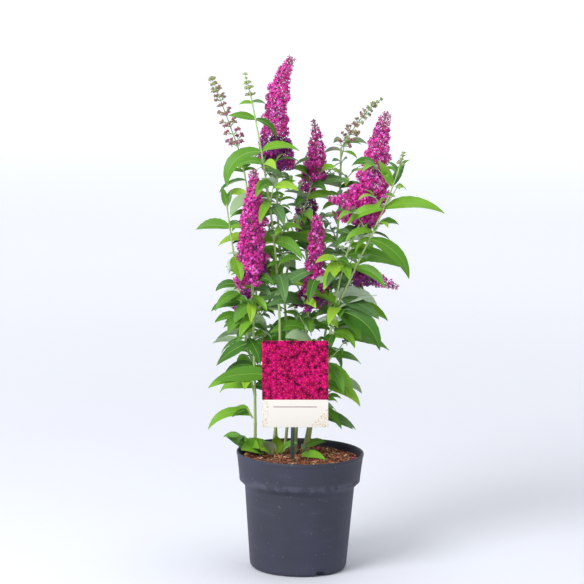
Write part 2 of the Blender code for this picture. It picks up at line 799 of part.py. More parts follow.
def leaves_of(pair, path, rng):
    """The one or two leaves of a pair, rooted at the middle of the shoot."""
    leaves = []
    for turn, size in ((0.0, 1.0), (180.0, pair.mate)):
        wobble = [rng.uniform(-1.0, 1.0) for _ in range(5)]
        if size == 0:
            continue
        bearing = pair.bearing + turn + 5.0 * wobble[0]
        angle = math.radians(bearing)
        away = Vector((math.cos(angle), math.sin(angle), 0.0))
        node = path.point(pair.at) + path.direction(pair.at) * (NODE_STEP if turn else -NODE_STEP)
        leaves.append(
            Leaf(
                node - away * ROOT_DEPTH,
                bearing,
                pair.rise + 4.0 * wobble[1],
                pair.droop + 6.0 * wobble[2],
                pair.length * size,
                14.0 * wobble[3],
                16.0 * wobble[4],
            )
        )
    return leaves


def axil_twigs(pair, path, rng):
    """Side twigs that a seeded rule sets in the axils of a pair: (points, radii, leaves) of each."""
    twigs = []
    for turn in (0.0, 180.0):
        chance, bend, size, slope, phase = [rng.random() for _ in range(5)]
        if chance > AXIL_SHARE or pair.at > 0.94:
            continue
        bearing = math.radians(pair.bearing + turn + 50.0 * (bend - 0.5))
        rise = math.radians(35.0 + 30.0 * slope)
        length = 0.022 + 0.026 * size
        level = Vector((math.cos(bearing), math.sin(bearing), 0.0))
        heading = level * math.cos(rise) + Vector((0.0, 0.0, math.sin(rise)))
        root = path.point(pair.at + 0.012) - level * ROOT_DEPTH
        tip = root + heading * length
        middle = (root + tip) / 2 + Vector((0.0, 0.0, -0.0015))
        leaves = []
        for side, back in ((-1.0, 0.0012), (0.9, 0.0034)):
            turned = math.degrees(bearing) + side * 52.0 + 30.0 * (phase - 0.5)
            away = Vector((math.cos(math.radians(turned)), math.sin(math.radians(turned)), 0.0))
            blade = 0.034 * (0.8 + 0.6 * size)
            root_of_leaf = tip - heading * back - away * ROOT_DEPTH
            leaves.append(Leaf(root_of_leaf, turned, 30.0, 70.0, blade, 20.0 * side))
        twigs.append(([root, middle, tip], [TWIG_RADIUS, TWIG_RADIUS, TWIG_RADIUS * 0.7], leaves))
    return twigs


def bud_spike(shoot, path):
    """The spike of buds past a shoot's tip: a thin stalk with a knot of buds across it at each node."""
    start = path.point(0.995)
    end = Vector(shoot.buds.tip)
    reach = (end - start).length
    lean = path.direction(1.0) * reach * 0.35
    count = max(3, round(reach / BUD_SPACING))
    points = [start.lerp(end, s) + lean * (s * (1.0 - s)) for s in (k / 4 for k in range(5))]
    pieces = [limb_solid("stalk", points, [STALK_RADIUS] * 4 + [STALK_RADIUS * 0.5], AXIS_SIDES)]
    for k in range(count):
        s = (k + 0.6) / count
        centre = start.lerp(end, s) + lean * (s * (1.0 - s))
        half = max(0.5 * shoot.buds.width * (1.0 - 0.72 * s), 0.0035)
        pieces.append(whorl_of_buds("buds", centre, half, BUD_SIZE * (1.0 - 0.4 * s), BUD_TURN * k))
    return pieces


class Mass:
    """One mass of foliage: the shoot's leafy length, its leaf pairs, axil twigs and any buds."""

    def __init__(self, shoot, path, room):
        self.name = shoot.mass
        self.shoot = shoot
        self.path = path
        self.room = room
        steps = AXIS_STEPS if path.length() > 0.05 else 2
        points, radii = path.between(shoot.bare, 1.0, steps)
        self.pieces = [limb_solid(shoot.mass, points, radii, AXIS_SIDES)]
        if shoot.buds:
            self.pieces += bud_spike(shoot, path)
        for piece in self.pieces:
            room.take(self.name, piece)

    def add_leaf(self, leaf):
        """Adds a leaf if it has room and keeps off the mass's other leaves."""
        outer = leaf.solid("probe", CLEAR * 1.5, min(0.25, 0.009 / leaf.length))
        probe = leaf.solid("probe", CLEAR * 1.5)
        blade = leaf.solid("leaf")
        if self.room.free(self.name, probe, outer) and self.room.free(self.name, blade, outer):
            self.pieces.append(blade)
            self.room.take(self.name, blade)
            self.room.take(self.name, probe, outer)
        else:
            drop(blade)
        drop(outer)
        drop(probe)

    def add_pairs(self):
        """Adds the leaves that stand on the shoot itself."""
        rng = random.Random(self.name)
        for pair in self.shoot.pairs:
            for leaf in leaves_of(pair, self.path, rng):
                self.add_leaf(leaf)

    def add_twigs(self):
        """Adds the twigs in the axils, each with its own small leaves, where there is room."""
        rng = random.Random(self.name + "_twigs")
        for pair in self.shoot.pairs:
            for points, radii, leaves in axil_twigs(pair, self.path, rng):
                twig = limb_solid("twig", points, radii, AXIS_SIDES)
                outer = limb_solid("probe", [points[0].lerp(points[1], 0.3), points[1]], radii, AXIS_SIDES)
                if self.room.free(self.name, twig, outer):
                    self.pieces.append(twig)
                    self.room.take(self.name, twig, outer)
                    for leaf in leaves:
                        self.add_leaf(leaf)
                else:
                    drop(twig)
                drop(outer)

    def fused(self):
        """The mass as one solid."""
        return fuse(self.name, self.pieces)


def grow_panicle(shoot, host):
    """A flower head with the flowering side branches at its foot, fused."""
    panicle = shoot.panicle
    rng = random.Random(panicle.name)
    path = carried_on([Vector(h) for h in panicle.path], (0.0014, 0.0008), host)
    pieces = [lumpy_spindle(panicle.name, path, panicle.width, 0.06, rng)]
    for side in panicle.sides:
        root = path.point(side.at + 0.06)
        angle = math.radians(side.bearing)
        slope = math.radians(side.rise)
        flat = math.cos(slope)
        heading = Vector((math.cos(angle) * flat, math.sin(angle) * flat, math.sin(slope)))
        branch = Path([root + heading * side.length * k / 3 for k in range(4)], (0.0012, 0.0008))
        pieces.append(lumpy_spindle("side", branch, min(panicle.width * 0.55, 0.024), 0.08, rng))
    return fuse(panicle.name, pieces)


# ---------------------------------------------------------------- pot, soil, label


def polyline(name, profile):
    """An open edge chain in the XZ plane."""
    mesh = bpy.data.meshes.new(name)
    edges = [(k, k + 1) for k in range(len(profile) - 1)]
    mesh.from_pydata([(x, 0.0, z) for x, z in profile], edges, [])
    return bpy.data.objects.new(name, mesh)


def turned(name, profile):
    """A profile in the XZ plane turned about Z."""
    thing = polyline(name, profile)
    screw = thing.modifiers.new("turn", "SCREW")
    screw.steps = POT_STEPS
    screw.render_steps = POT_STEPS
    screw.use_merge_vertices = True
    screw.merge_threshold = 0.00005
    screw.use_smooth_shade = True
    return thing


def body_radius(z):
    """The pot's outer radius below the collar."""
    top = POT_HEIGHT - POT_COLLAR_HEIGHT - POT_STEP_HEIGHT
    return POT_BASE_RADIUS + (POT_BODY_RADIUS - POT_BASE_RADIUS) * z / top


def arc(centre_x, centre_z, radius, start, end, steps):
    """Points of an arc in the XZ plane, angles in degrees."""
    angles = [math.radians(start + (end - start) * k / steps) for k in range(steps + 1)]
    return [(centre_x + radius * math.cos(a), centre_z + radius * math.sin(a)) for a in angles]


def pot():
    """The pot: one turned wall with a collar, a rounded foot, and shallow notches round the foot."""
    collar_foot = POT_HEIGHT - POT_COLLAR_HEIGHT
    step_foot = collar_foot - POT_STEP_HEIGHT
    lip = 0.0012
    inside = [
        (0.0, POT_FLOOR),
        (POT_BASE_RADIUS - POT_CORNER, POT_FLOOR),
        (body_radius(0.012) - POT_WALL, 0.012),
        (POT_BODY_RADIUS - POT_WALL, step_foot),
        (POT_COLLAR_RADIUS - POT_WALL, collar_foot),
        (POT_RIM_RADIUS - POT_WALL, POT_HEIGHT - lip),
    ]
    rim = arc(POT_RIM_RADIUS - POT_WALL / 2, POT_HEIGHT - lip, POT_WALL / 2, 180.0, 0.0, 3)
    outside = [
        (POT_COLLAR_RADIUS, collar_foot),
        (POT_COLLAR_RADIUS - 0.0015, collar_foot - 0.0015),
        (POT_BODY_RADIUS, step_foot),
    ]
    foot = arc(POT_BASE_RADIUS - POT_CORNER + 0.0006, POT_CORNER, POT_CORNER, 0.0, -90.0, 3)
    thing = turned("pot", inside + rim[1:] + outside + foot + [(0.0, 0.0)])
    for k in range(NOTCH_COUNT):
        angle = 2.0 * math.pi * (k + NOTCH_PHASE) / NOTCH_COUNT
        bpy.ops.mesh.primitive_cube_add(size=1.0)
        cutter = bpy.context.object
        cutter.name = f"notch_cutter_{k}"
        place = Matrix.Rotation(angle, 4, "Z") @ Matrix.Translation((POT_BASE_RADIUS + 0.0003, 0.0, 0.0045))
        lean = Matrix.Rotation(math.radians(-35.0), 4, "Y")
        size = Matrix.Diagonal((NOTCH_SIZE[1], NOTCH_SIZE[0], NOTCH_SIZE[2], 1.0))
        cutter.data.transform(place @ lean @ size)
        cutter.hide_render = True
        cutter.display_type = "WIRE"
        for home in list(cutter.users_collection):
            home.objects.unlink(cutter)
        bpy.data.collections["cutters"].objects.link(cutter)
        cut = thing.modifiers.new(f"notch_{k}", "BOOLEAN")
        cut.operation = "DIFFERENCE"
        cut.object = cutter
        cut.solver = "EXACT"
    return thing


def potting_mix():
    """The filled inside of the pot, level at the soil's height."""
    collar_foot = POT_HEIGHT - POT_COLLAR_HEIGHT
    step_foot = collar_foot - POT_STEP_HEIGHT
    slope = (POT_RIM_RADIUS - POT_COLLAR_RADIUS) / POT_COLLAR_HEIGHT
    in_by = POT_WALL + 2 * CLEAR
    top = POT_COLLAR_RADIUS + slope * (SOIL_LEVEL - collar_foot) - in_by
    profile = [
        (0.0, SOIL_LEVEL),
        (top, SOIL_LEVEL),
        (POT_COLLAR_RADIUS - in_by, collar_foot - CLEAR),
        (POT_BODY_RADIUS - in_by, step_foot - CLEAR),
        (body_radius(0.013) - in_by, 0.013),
        (POT_BASE_RADIUS - POT_CORNER - CLEAR, POT_FLOOR + CLEAR),
        (0.0, POT_FLOOR + CLEAR),
    ]
    return turned("potting_mix", profile)


def label_card():
    """The label's card: a flat outline with rounded corners."""
    curve = bpy.data.curves.new("label_card", "CURVE")
    curve.dimensions = "2D"
    curve.fill_mode = "BOTH"
    curve.extrude = LABEL_THICKNESS / 2
    corners = []
    for x, z, start in ((1, 1, 0.0), (-1, 1, 90.0), (-1, -1, 180.0), (1, -1, 270.0)):
        centre_x = x * (LABEL_WIDTH / 2 - LABEL_CORNER)
        centre_z = z * (LABEL_HEIGHT / 2 - LABEL_CORNER)
        corners += arc(centre_x, centre_z, LABEL_CORNER, start, start + 90.0, 3)
    spline = curve.splines.new("POLY")
    spline.points.add(len(corners) - 1)
    for spot, (x, z) in zip(spline.points, corners):
        spot.co = (x, z, 0.0, 1.0)
    spline.use_cyclic_u = True
    guide = bpy.data.objects.new("label_guide", curve)
    bpy.context.scene.collection.objects.link(guide)
    mesh = bpy.data.meshes.new_from_object(guide.evaluated_get(bpy.context.evaluated_depsgraph_get()))
    bpy.data.objects.remove(guide)
    bm = bmesh.new()
    bm.from_mesh(mesh)
    bmesh.ops.remove_doubles(bm, verts=bm.verts, dist=0.00001)
    bmesh.ops.recalc_face_normals(bm, faces=bm.faces)
    bm.to_mesh(mesh)
    bm.free()
    card = bpy.data.objects.new("label_card", mesh)
    card.location = LABEL_CENTRE
    card.rotation_euler = (math.radians(90.0), LABEL_TILT, 0.0)
    return card


def label_stick():
    """The label's stick, behind the card, from just above the soil."""
    foot = SOIL_LEVEL + CLEAR
    bm = bmesh.new()
    bmesh.ops.create_cube(bm, size=1.0)
    height = STICK_TOP - foot
    bmesh.ops.scale(bm, verts=bm.verts, vec=(STICK_WIDTH, STICK_THICKNESS, height))
    mesh = bpy.data.meshes.new("label_stick")
    bm.to_mesh(mesh)
    bm.free()
    stick = bpy.data.objects.new("label_stick", mesh)
    behind = LABEL_CENTRE[1] + LABEL_THICKNESS / 2 + CLEAR + STICK_THICKNESS / 2
    stick.location = (LABEL_CENTRE[0] - 0.0025, behind, foot + height / 2)
    edge = stick.modifiers.new("edge", "BEVEL")
    edge.width = 0.0005
    edge.segments = 1
    return stick


# ---------------------------------------------------------------- finish and assembly


def finish(name, colour, roughness):
    """A plain Principled material."""
    material = bpy.data.materials.new(name)
    material.use_nodes = True
    shader = material.node_tree.nodes["Principled BSDF"]
    shader.inputs["Base Color"].default_value = (*colour, 1.0)
    shader.inputs["Roughness"].default_value = roughness
    shader.inputs["Metallic"].default_value = 0.0
    return material


def place(thing, home, material, smooth=False):
    """Puts a finished object in the bush's collection."""
    home.objects.link(thing)
    thing.data.materials.clear()
    thing.data.materials.append(material)
    if smooth:
        thing.data.shade_smooth()
    bpy.context.view_layer.update()
    return thing


def main():
    for thing in list(bpy.data.objects):
        bpy.data.objects.remove(thing)
    home = bpy.data.collections.new("butterfly_bush")
    cutters = bpy.data.collections.new("cutters")
    bpy.context.scene.collection.children.link(home)
    bpy.context.scene.collection.children.link(cutters)
    plastic = finish("pot_plastic", (0.060, 0.065, 0.085), 0.5)
    mix = finish("potting_mix", (0.180, 0.070, 0.035), 0.95)
    card = finish("label_card", (0.550, 0.020, 0.160), 0.35)
    stick = finish("label_stick", (0.035, 0.055, 0.065), 0.5)
    bark = finish("stem", (0.260, 0.400, 0.130), 0.6)
    green = finish("leaf", (0.100, 0.260, 0.045), 0.55)
    petal = finish("blossom", (0.560, 0.015, 0.260), 0.6)

    room = Room()
    room.take("pot", place(pot(), home, plastic))
    room.take("potting_mix", place(potting_mix(), home, mix))
    room.take("label_card", place(label_card(), home, card))
    room.take("label_stick", place(label_stick(), home, stick))

    paths = {}
    for shoot in STEMS + BOUGHS + TWIGS:
        paths[shoot.name] = sprout(shoot, paths)
    for shoot in STEMS + BOUGHS:
        points, radii = paths[shoot.name].between(0.0, shoot.bare, LIMB_STEPS)
        limb = limb_solid(shoot.name, points, radii)
        if not shoot.host:
            cut_flat(limb, SOIL_LEVEL + CLEAR)
        room.take(shoot.name, place(limb, home, bark, smooth=True))
    for shoot in STEMS + BOUGHS:
        if shoot.panicle:
            room.take(shoot.panicle.name, place(grow_panicle(shoot, paths[shoot.name]), home, petal))

    masses = [Mass(shoot, paths[shoot.name], room) for shoot in STEMS + BOUGHS + TWIGS if shoot.mass]
    for mass in masses:
        mass.add_pairs()
    for mass in masses:
        mass.add_twigs()
    for mass in masses:
        place(mass.fused(), home, green)

main()
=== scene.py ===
"""The looks of a butterfly bush in its nursery pot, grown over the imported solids.

Metres, +Z up. The stems and boughs are the same cubic curves as in the solids, and the same seeded rule sets
the leaf pairs, the side twigs in their axils, the flower heads and the bud spikes. Here each of them is made
in full: two-faced leaves with a rib and toothed edges, heads of single four-lobed florets, knots of buds, and
stems with nodes and ridges.
"""

import logging
from dataclasses import dataclass, field
from enum import Enum
from math import atan2, copysign, cos, degrees, exp, floor, hypot, pi, radians, sin, sqrt
from random import Random

import bpy
import numpy as np
from bpy.types import Material, NodeSocket as Socket, Object
from mathutils import Matrix, Vector, noise


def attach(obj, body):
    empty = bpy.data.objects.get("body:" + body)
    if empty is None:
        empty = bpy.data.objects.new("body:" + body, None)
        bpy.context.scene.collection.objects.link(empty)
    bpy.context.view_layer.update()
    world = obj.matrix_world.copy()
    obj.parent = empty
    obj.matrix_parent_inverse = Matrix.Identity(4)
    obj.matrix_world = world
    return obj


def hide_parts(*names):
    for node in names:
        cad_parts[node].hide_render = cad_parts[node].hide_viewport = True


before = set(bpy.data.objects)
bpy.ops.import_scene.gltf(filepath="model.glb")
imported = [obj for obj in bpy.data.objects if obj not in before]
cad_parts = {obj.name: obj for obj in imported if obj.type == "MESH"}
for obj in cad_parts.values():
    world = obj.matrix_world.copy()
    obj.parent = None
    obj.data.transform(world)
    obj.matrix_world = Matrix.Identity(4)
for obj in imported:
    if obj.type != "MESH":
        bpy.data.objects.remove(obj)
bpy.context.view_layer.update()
LOG = logging.getLogger("butterfly_bush")

# --- sizes shared with the solids

CLEAR = 0.0003
POT_HEIGHT = 0.196
POT_RIM_RADIUS = 0.105
POT_COLLAR_RADIUS = 0.100
POT_COLLAR_HEIGHT = 0.048
POT_STEP_HEIGHT = 0.009
POT_BODY_RADIUS = 0.091
POT_BASE_RADIUS = 0.080
POT_CORNER = 0.009
POT_WALL = 0.0022
POT_FLOOR = 0.003
NOTCH_COUNT = 3
NOTCH_PHASE = 0.493
SOIL_LEVEL = 0.185
LABEL_WIDTH = 0.109
LABEL_HEIGHT = 0.145
LABEL_THICKNESS = 0.0009
LABEL_CORNER = 0.0025
LABEL_CENTRE = (-0.0105, -0.0235, 0.3135)
LABEL_TILT = radians(-1.1)
STICK_WIDTH = 0.0066
STICK_THICKNESS = 0.0024
STICK_TOP = 0.300
LEAF_WIDTH_SHARE = 0.27
ROOT_DEPTH = 0.0005
NODE_STEP = 0.0009
TWIG_RADIUS = 0.0011
STALK_RADIUS = 0.0011
BUD_TURN = 1.75
GOLDEN_ANGLE = 2.39996
FOOT_DEPTH = 0.004
FLARE = 0.0012
FLARE_HEIGHT = 0.012
CROWN_LOW = Vector((-0.168, -0.150, SOIL_LEVEL + 0.002))
CROWN_HIGH = Vector((0.234, 0.205, 0.850))

# --- what a shoot is

Triple = tuple[float, float, float]
Colour = Triple
Mesh = tuple[np.ndarray, list]


@dataclass(frozen=True)
class Pair:
    """Two opposite leaves at one node. Angles are degrees; bearing is from +X, seen from above."""

    at: float
    bearing: float
    length: float
    rise: float = 35.0
    droop: float = 75.0
    mate: float = 0.9


@dataclass(frozen=True)
class Side:
    """A flowering side branch at the foot of a panicle."""

    at: float
    bearing: float
    length: float
    rise: float = 25.0


@dataclass(frozen=True)
class Panicle:
    """A tapering flower head that goes on from a shoot's tip."""

    name: str
    path: tuple
    width: float
    sides: tuple = ()


@dataclass(frozen=True)
class Buds:
    """A bare spike of unopened buds that goes on from a shoot's tip."""

    tip: tuple
    width: float


@dataclass(frozen=True)
class Shoot:
    """A stem, bough or side twig: its curve, where it grows from, and what it carries."""

    name: str
    path: tuple
    radii: tuple = (0.0022, 0.0015)
    host: str = ""
    at: float = 0.0
    bare: float = 1.0
    mass: str = ""
    pairs: tuple = ()
    panicle: Panicle | None = None
    buds: Buds | None = None


def mm(*spots: tuple) -> tuple:
    """Points given in millimetres, in metres."""
    return tuple(tuple(c / 1000 for c in spot) for spot in spots)


def each(kind: type, *rows: tuple) -> tuple:
    """A Pair, Side or Sprig for each row: share of the shoot, bearing, length in millimetres, the rest."""
    return tuple(kind(at, bearing, length / 1000, *rest) for at, bearing, length, *rest in rows)


def grown(
    name: str, handles: tuple, radii: tuple, bloom: tuple = (), buds: tuple = (), **rest: object
) -> Shoot:
    """A stem or bough, its points in millimetres.

    Args:
        name: Its name.
        handles: The four handles of its curve.
        radii: Its radius at the foot and at the tip.
        bloom: Its panicle's name, width, three further handles and side branches.
        buds: Its bud spike's tip and width.
        rest: The shoot's other fields.

    Returns:
        The shoot.
    """
    path = mm(*handles)
    if bloom:
        rest["panicle"] = Panicle(bloom[0], path[3:] + mm(*bloom[2]), bloom[1], bloom[3])
    if buds:
        rest["buds"] = Buds(*mm(buds[0]), buds[1])
    return Shoot(name, path, radii, **rest)


def regular_pairs(count: int, first: float, phase: float, longest: float, shortest: float) -> tuple:
    """Pairs evenly spaced to the tip, each turned a quarter from the last, and shorter upwards.

    Args:
        count: How many pairs.
        first: The first pair's share of the shoot's length.
        phase: The first pair's bearing in degrees.
        longest: The lowest leaf's length.
        shortest: The top leaf's length.

    Returns:
        The pairs, from the foot upwards.
    """
    pairs = []
    for k in range(count):
        share = k / max(count - 1, 1)
        at = first + (0.97 - first) * share
        length = longest + (shortest - longest) * share
        pairs.append(Pair(at, phase + 90.0 * k, length, 35.0 + 10.0 * share, 75.0 - 15.0 * share))
    return tuple(pairs)


def heading_of(bearing: float, rise: float) -> Vector:
    """The unit vector at a bearing and a rise, both in degrees."""
    angle = radians(bearing)
    slope = radians(rise)
    return Vector((cos(angle) * cos(slope), sin(angle) * cos(slope), sin(slope)))


def side_twig(
    name: str, host: str, at: float, bearing: float, length: float, rise: float, *pairs: tuple
) -> Shoot:
    """A short leafy twig low on a stem.

    Args:
        name: What its mass of leaves is called, after the first word.
        host: What the stem is called, after the first word.
        at: Where on the stem, as a share of its length.
        bearing: Its bearing in degrees.
        length: Its length.
        rise: Its rise in degrees.
        pairs: A row for each pair of its leaves.

    Returns:
        The shoot, with handles counted from its root.
    """
    name = "leaves_" + name
    reach = heading_of(bearing, rise)
    handles = tuple(tuple(reach * length * k / 3 + Vector((0, 0, length * 0.05 * k * k))) for k in range(4))
    return Shoot(name, handles, (0.0015, 0.0012), "stem_" + host, at, 0.0, name, each(Pair, *pairs))


# --- the plant

STEMS = (
    grown(
        "stem_left", ((-75, 30, 185), (-76, 32, 288), (-81, 19, 391), (-85, -20, 485)), (0.0025, 0.0017),
        bare=0.66, mass="leaves_left",
        pairs=each(
            Pair, (0.72, 35, 50, -10, 55), (0.79, 236, 50, -25, 40, 1.1), (0.88, 262, 45, -35, 35, 1.2),
            (0.95, 330, 42, 20, 60),
        ),
        bloom=(
            "bloom_left", 0.052, ((-84, -25, 546), (-82, -33, 608), (-85, -30, 669)),
            each(Side, (0.02, 205, 36, -28), (0.02, 10, 34, -20), (0.12, 100, 30, 20)),
        ),
    ),
    grown(
        "stem_tall", ((-47, 20, 185), (-21, 7, 392), (-48, -36, 591), (-91, -25, 786)), (0.0026, 0.0012),
        bare=0.47, mass="leaves_tall", buds=((-102, -25, 825), 0.014),
        pairs=each(
            Pair, (0.51, 285, 75, 5, 75), (0.6, 325, 70, 10, 70), (0.69, 120, 66, 20, 80, 1.0),
            (0.77, 242, 50, 0, 50), (0.85, 190, 94, 6, 106, 0), (0.85, 10, 66, 34, 64, 0),
            (0.94, 178, 46, 28, 34, 0), (0.94, 2, 50, -6, 66, 0), (0.985, 185, 24, 25, 60, 1.0),
        ),
    ),
    grown(
        "stem_mid", ((-27, 50, 185), (-6, 53, 343), (-46, 47, 495), (-47, 35, 651)), (0.0025, 0.0017),
        bare=0.64, mass="leaves_mid",
        pairs=each(
            Pair, (0.68, 75, 85, 15, 80), (0.77, 340, 70, 20, 60), (0.86, 60, 60, 25, 60),
            (0.95, 345, 38, 50, 50),
        ),
        bloom=(
            "bloom_tall", 0.057, ((-40, 36, 716), (-65, 27, 789), (-25, 30, 847)),
            each(Side, (0.04, 0, 30, 10), (0.04, 150, 26, 15), (0.14, 80, 30, 20)),
        ),
    ),
    grown(
        "stem_centre", ((-12, 30, 185), (-2, 32, 274), (0, 27, 363), (11, 0, 445)), (0.0024, 0.0016),
        bare=0.62, mass="leaves_centre",
        pairs=each(
            Pair, (0.66, 185, 72, 25, 60), (0.74, 80, 70, 20, 70, 0), (0.82, 200, 66, 25, 70, 0.8),
            (0.9, 275, 50, 0, 50, 1.1), (0.97, 350, 44, 25, 70),
        ),
        bloom=(
            "bloom_centre", 0.034, ((17, -6, 495), (21, -19, 545), (20, -15, 596)),
            each(Side, (0.05, 190, 26, 0), (0.05, 340, 26, 10)),
        ),
    ),
    grown(
        "stem_right", ((5, 30, 185), (20, 28, 282), (45, 11, 369), (55, -5, 457)), (0.0027, 0.0021),
    ),
    grown(
        "stem_back_right", ((12, 60, 185), (33, 91, 345), (64, 105, 521), (58, 100, 692)), (0.0025, 0.0014),
        bare=0.48, mass="leaves_back_right", buds=((125, 100, 776), 0.024),
        pairs=each(
            Pair, (0.51, 20, 95, 25, 75), (0.6, 110, 90, 25, 80), (0.69, 10, 82, 30, 75),
            (0.78, 80, 70, 30, 70), (0.87, 350, 50, 30, 60, 1.2), (0.95, 60, 34, 35, 60),
        ),
    ),
    grown(
        "stem_back_left", ((-38, 58, 185), (-46, 70, 290), (-78, 110, 400), (-86, 128, 500)),
        (0.0025, 0.0016),
        bare=0.5, mass="leaves_back_left",
        pairs=regular_pairs(5, 0.56, 150, 0.095, 0.055),
        bloom=(
            "bloom_back_left", 0.042, ((-86, 133, 545), (-87, 136, 590), (-86, 138, 632)),
            each(Side, (0.06, 140, 26, 10), (0.08, 40, 24, 15)),
        ),
    ),
    grown(
        "stem_back", ((-8, 78, 185), (-4, 88, 300), (12, 130, 420), (4, 150, 535)), (0.0024, 0.0016),
        bare=0.5, mass="leaves_back",
        pairs=regular_pairs(5, 0.56, 30, 0.092, 0.06),
        bloom=(
            "bloom_back", 0.044, ((4, 155, 590), (9, 158, 640), (12, 160, 692)),
            each(Side, (0.06, 60, 28, 10), (0.08, 200, 24, 15)),
        ),
    ),
)

BOUGHS = (
    grown(
        "bough_left_outer", ((-80, 15, 372), (-100, -4, 444), (-113, -23, 527), (-128, -30, 611)),
        (0.0018, 0.0012),
        host="stem_left", at=0.56, bare=0.3, mass="leaves_left_outer",
        pairs=each(
            Pair, (0.36, 185, 56, 25, 70, 0.8), (0.48, 175, 44, 35, 90), (0.66, 300, 48, -40, 35, 0.8),
            (0.85, 178, 56, 18, 48, 0.6), (0.985, 200, 36, 75, 10, 0.8),
        ),
    ),
    grown(
        "bough_left_spike", ((-82, 12, 405), (-89, 40, 501), (-81, 50, 600), (-111, 50, 691)),
        (0.0017, 0.0011),
        host="stem_left", at=0.63, bare=0.34, mass="leaves_left_spike", buds=((-159, 50, 812), 0.03),
        pairs=each(
            Pair, (0.4, 130, 75, 25, 80), (0.52, 190, 60, 25, 70), (0.63, 90, 55, 25, 70),
            (0.75, 160, 45, 30, 70), (0.88, 185, 26, 35, 60),
        ),
    ),
    grown(
        "bough_centre", ((-31, 49, 490), (-22, 58, 550), (-2, 70, 590), (13, 75, 640)), (0.0017, 0.0012),
        host="stem_mid", at=0.61, bare=0.35, mass="leaves_bough_centre",
        pairs=each(
            Pair, (0.42, 20, 60, 20, 70), (0.62, 95, 55, 20, 60), (0.82, 345, 50, 35, 60),
            (0.97, 10, 44, 50, 60, 0.8),
        ),
        bloom=(
            "bloom_bough_centre", 0.04, ((14, 75, 674), (19, 75, 708), (11, 75, 742)),
            each(Side, (0.03, 0, 34, -15), (0.03, 200, 26, -5)),
        ),
    ),
    grown(
        "bough_upper", ((55, -5, 457), (59, 3, 501), (72, -1, 542), (92, 0, 582)), (0.0018, 0.0014),
        host="stem_right", at=1.0, bare=0.24, mass="leaves_upper",
        pairs=each(Pair, (0.3, 65, 66, 20, 70), (0.56, 12, 96, 6, 50, 0.72), (0.81, 245, 56, 20, 80, 0.8)),
        bloom=(
            "bloom_upper", 0.058, ((87, 0, 646), (109, 0, 706), (132, 0, 765)),
            each(Side, (0.1, 182, 70, 8), (0.04, 200, 42, -15), (0.04, 350, 26, -20), (0.12, 75, 34, 15)),
        ),
    ),
    grown(
        "bough_right", ((58, -8, 448), (92, -16, 530), (129, -49, 601), (152, -45, 681)), (0.0018, 0.0011),
        host="stem_right", at=0.95, bare=0.22, mass="leaves_right", buds=((158, -44, 703), 0.011),
        pairs=each(
            Pair, (0.26, 325, 70, 10, 70, 0.8), (0.48, 350, 98, -10, 72, 0.4), (0.7, 357, 104, 28, 52, 0),
            (0.7, 180, 72, 8, 70, 0), (0.86, 215, 54, 65, 10), (0.97, 175, 26, 60, 40, 1.0),
        ),
    ),
    grown(
        "bough_low_right", ((53, 6, 440), (60, 16, 463), (68, 22, 476), (80, 26, 480)), (0.0015, 0.0013),
        host="stem_right", at=0.86,
        bloom=(
            "bloom_low_right", 0.036, ((103, 30, 483), (130, 30, 479), (156, 26, 470)),
            each(Side, (0.05, 60, 26, 10)),
        ),
    ),
    grown(
        "bough_back_right", ((30, 82, 330), (58, 108, 380), (92, 126, 450), (98, 138, 545)), (0.0018, 0.0014),
        host="stem_back_right", at=0.3, bare=0.35, mass="leaves_back_bough_right",
        pairs=regular_pairs(4, 0.45, 320, 0.09, 0.06),
        bloom=(
            "bloom_back_right", 0.04, ((99, 142, 580), (103, 146, 615), (106, 150, 650)),
            each(Side, (0.05, 20, 28, 10), (0.08, 160, 26, 15)),
        ),
    ),
    grown(
        "bough_back_left", ((-48, 70, 330), (-70, 90, 345), (-98, 102, 362), (-100, 108, 412)),
        (0.0017, 0.0013),
        host="stem_back_left", at=0.3, bare=0.35, mass="leaves_back_bough_left",
        pairs=regular_pairs(4, 0.45, 250, 0.085, 0.055),
        bloom=(
            "bloom_back_left_low", 0.036, ((-100, 110, 432), (-96, 112, 452), (-90, 114, 474)),
            each(Side, (0.05, 90, 22, 10)),
        ),
    ),
)

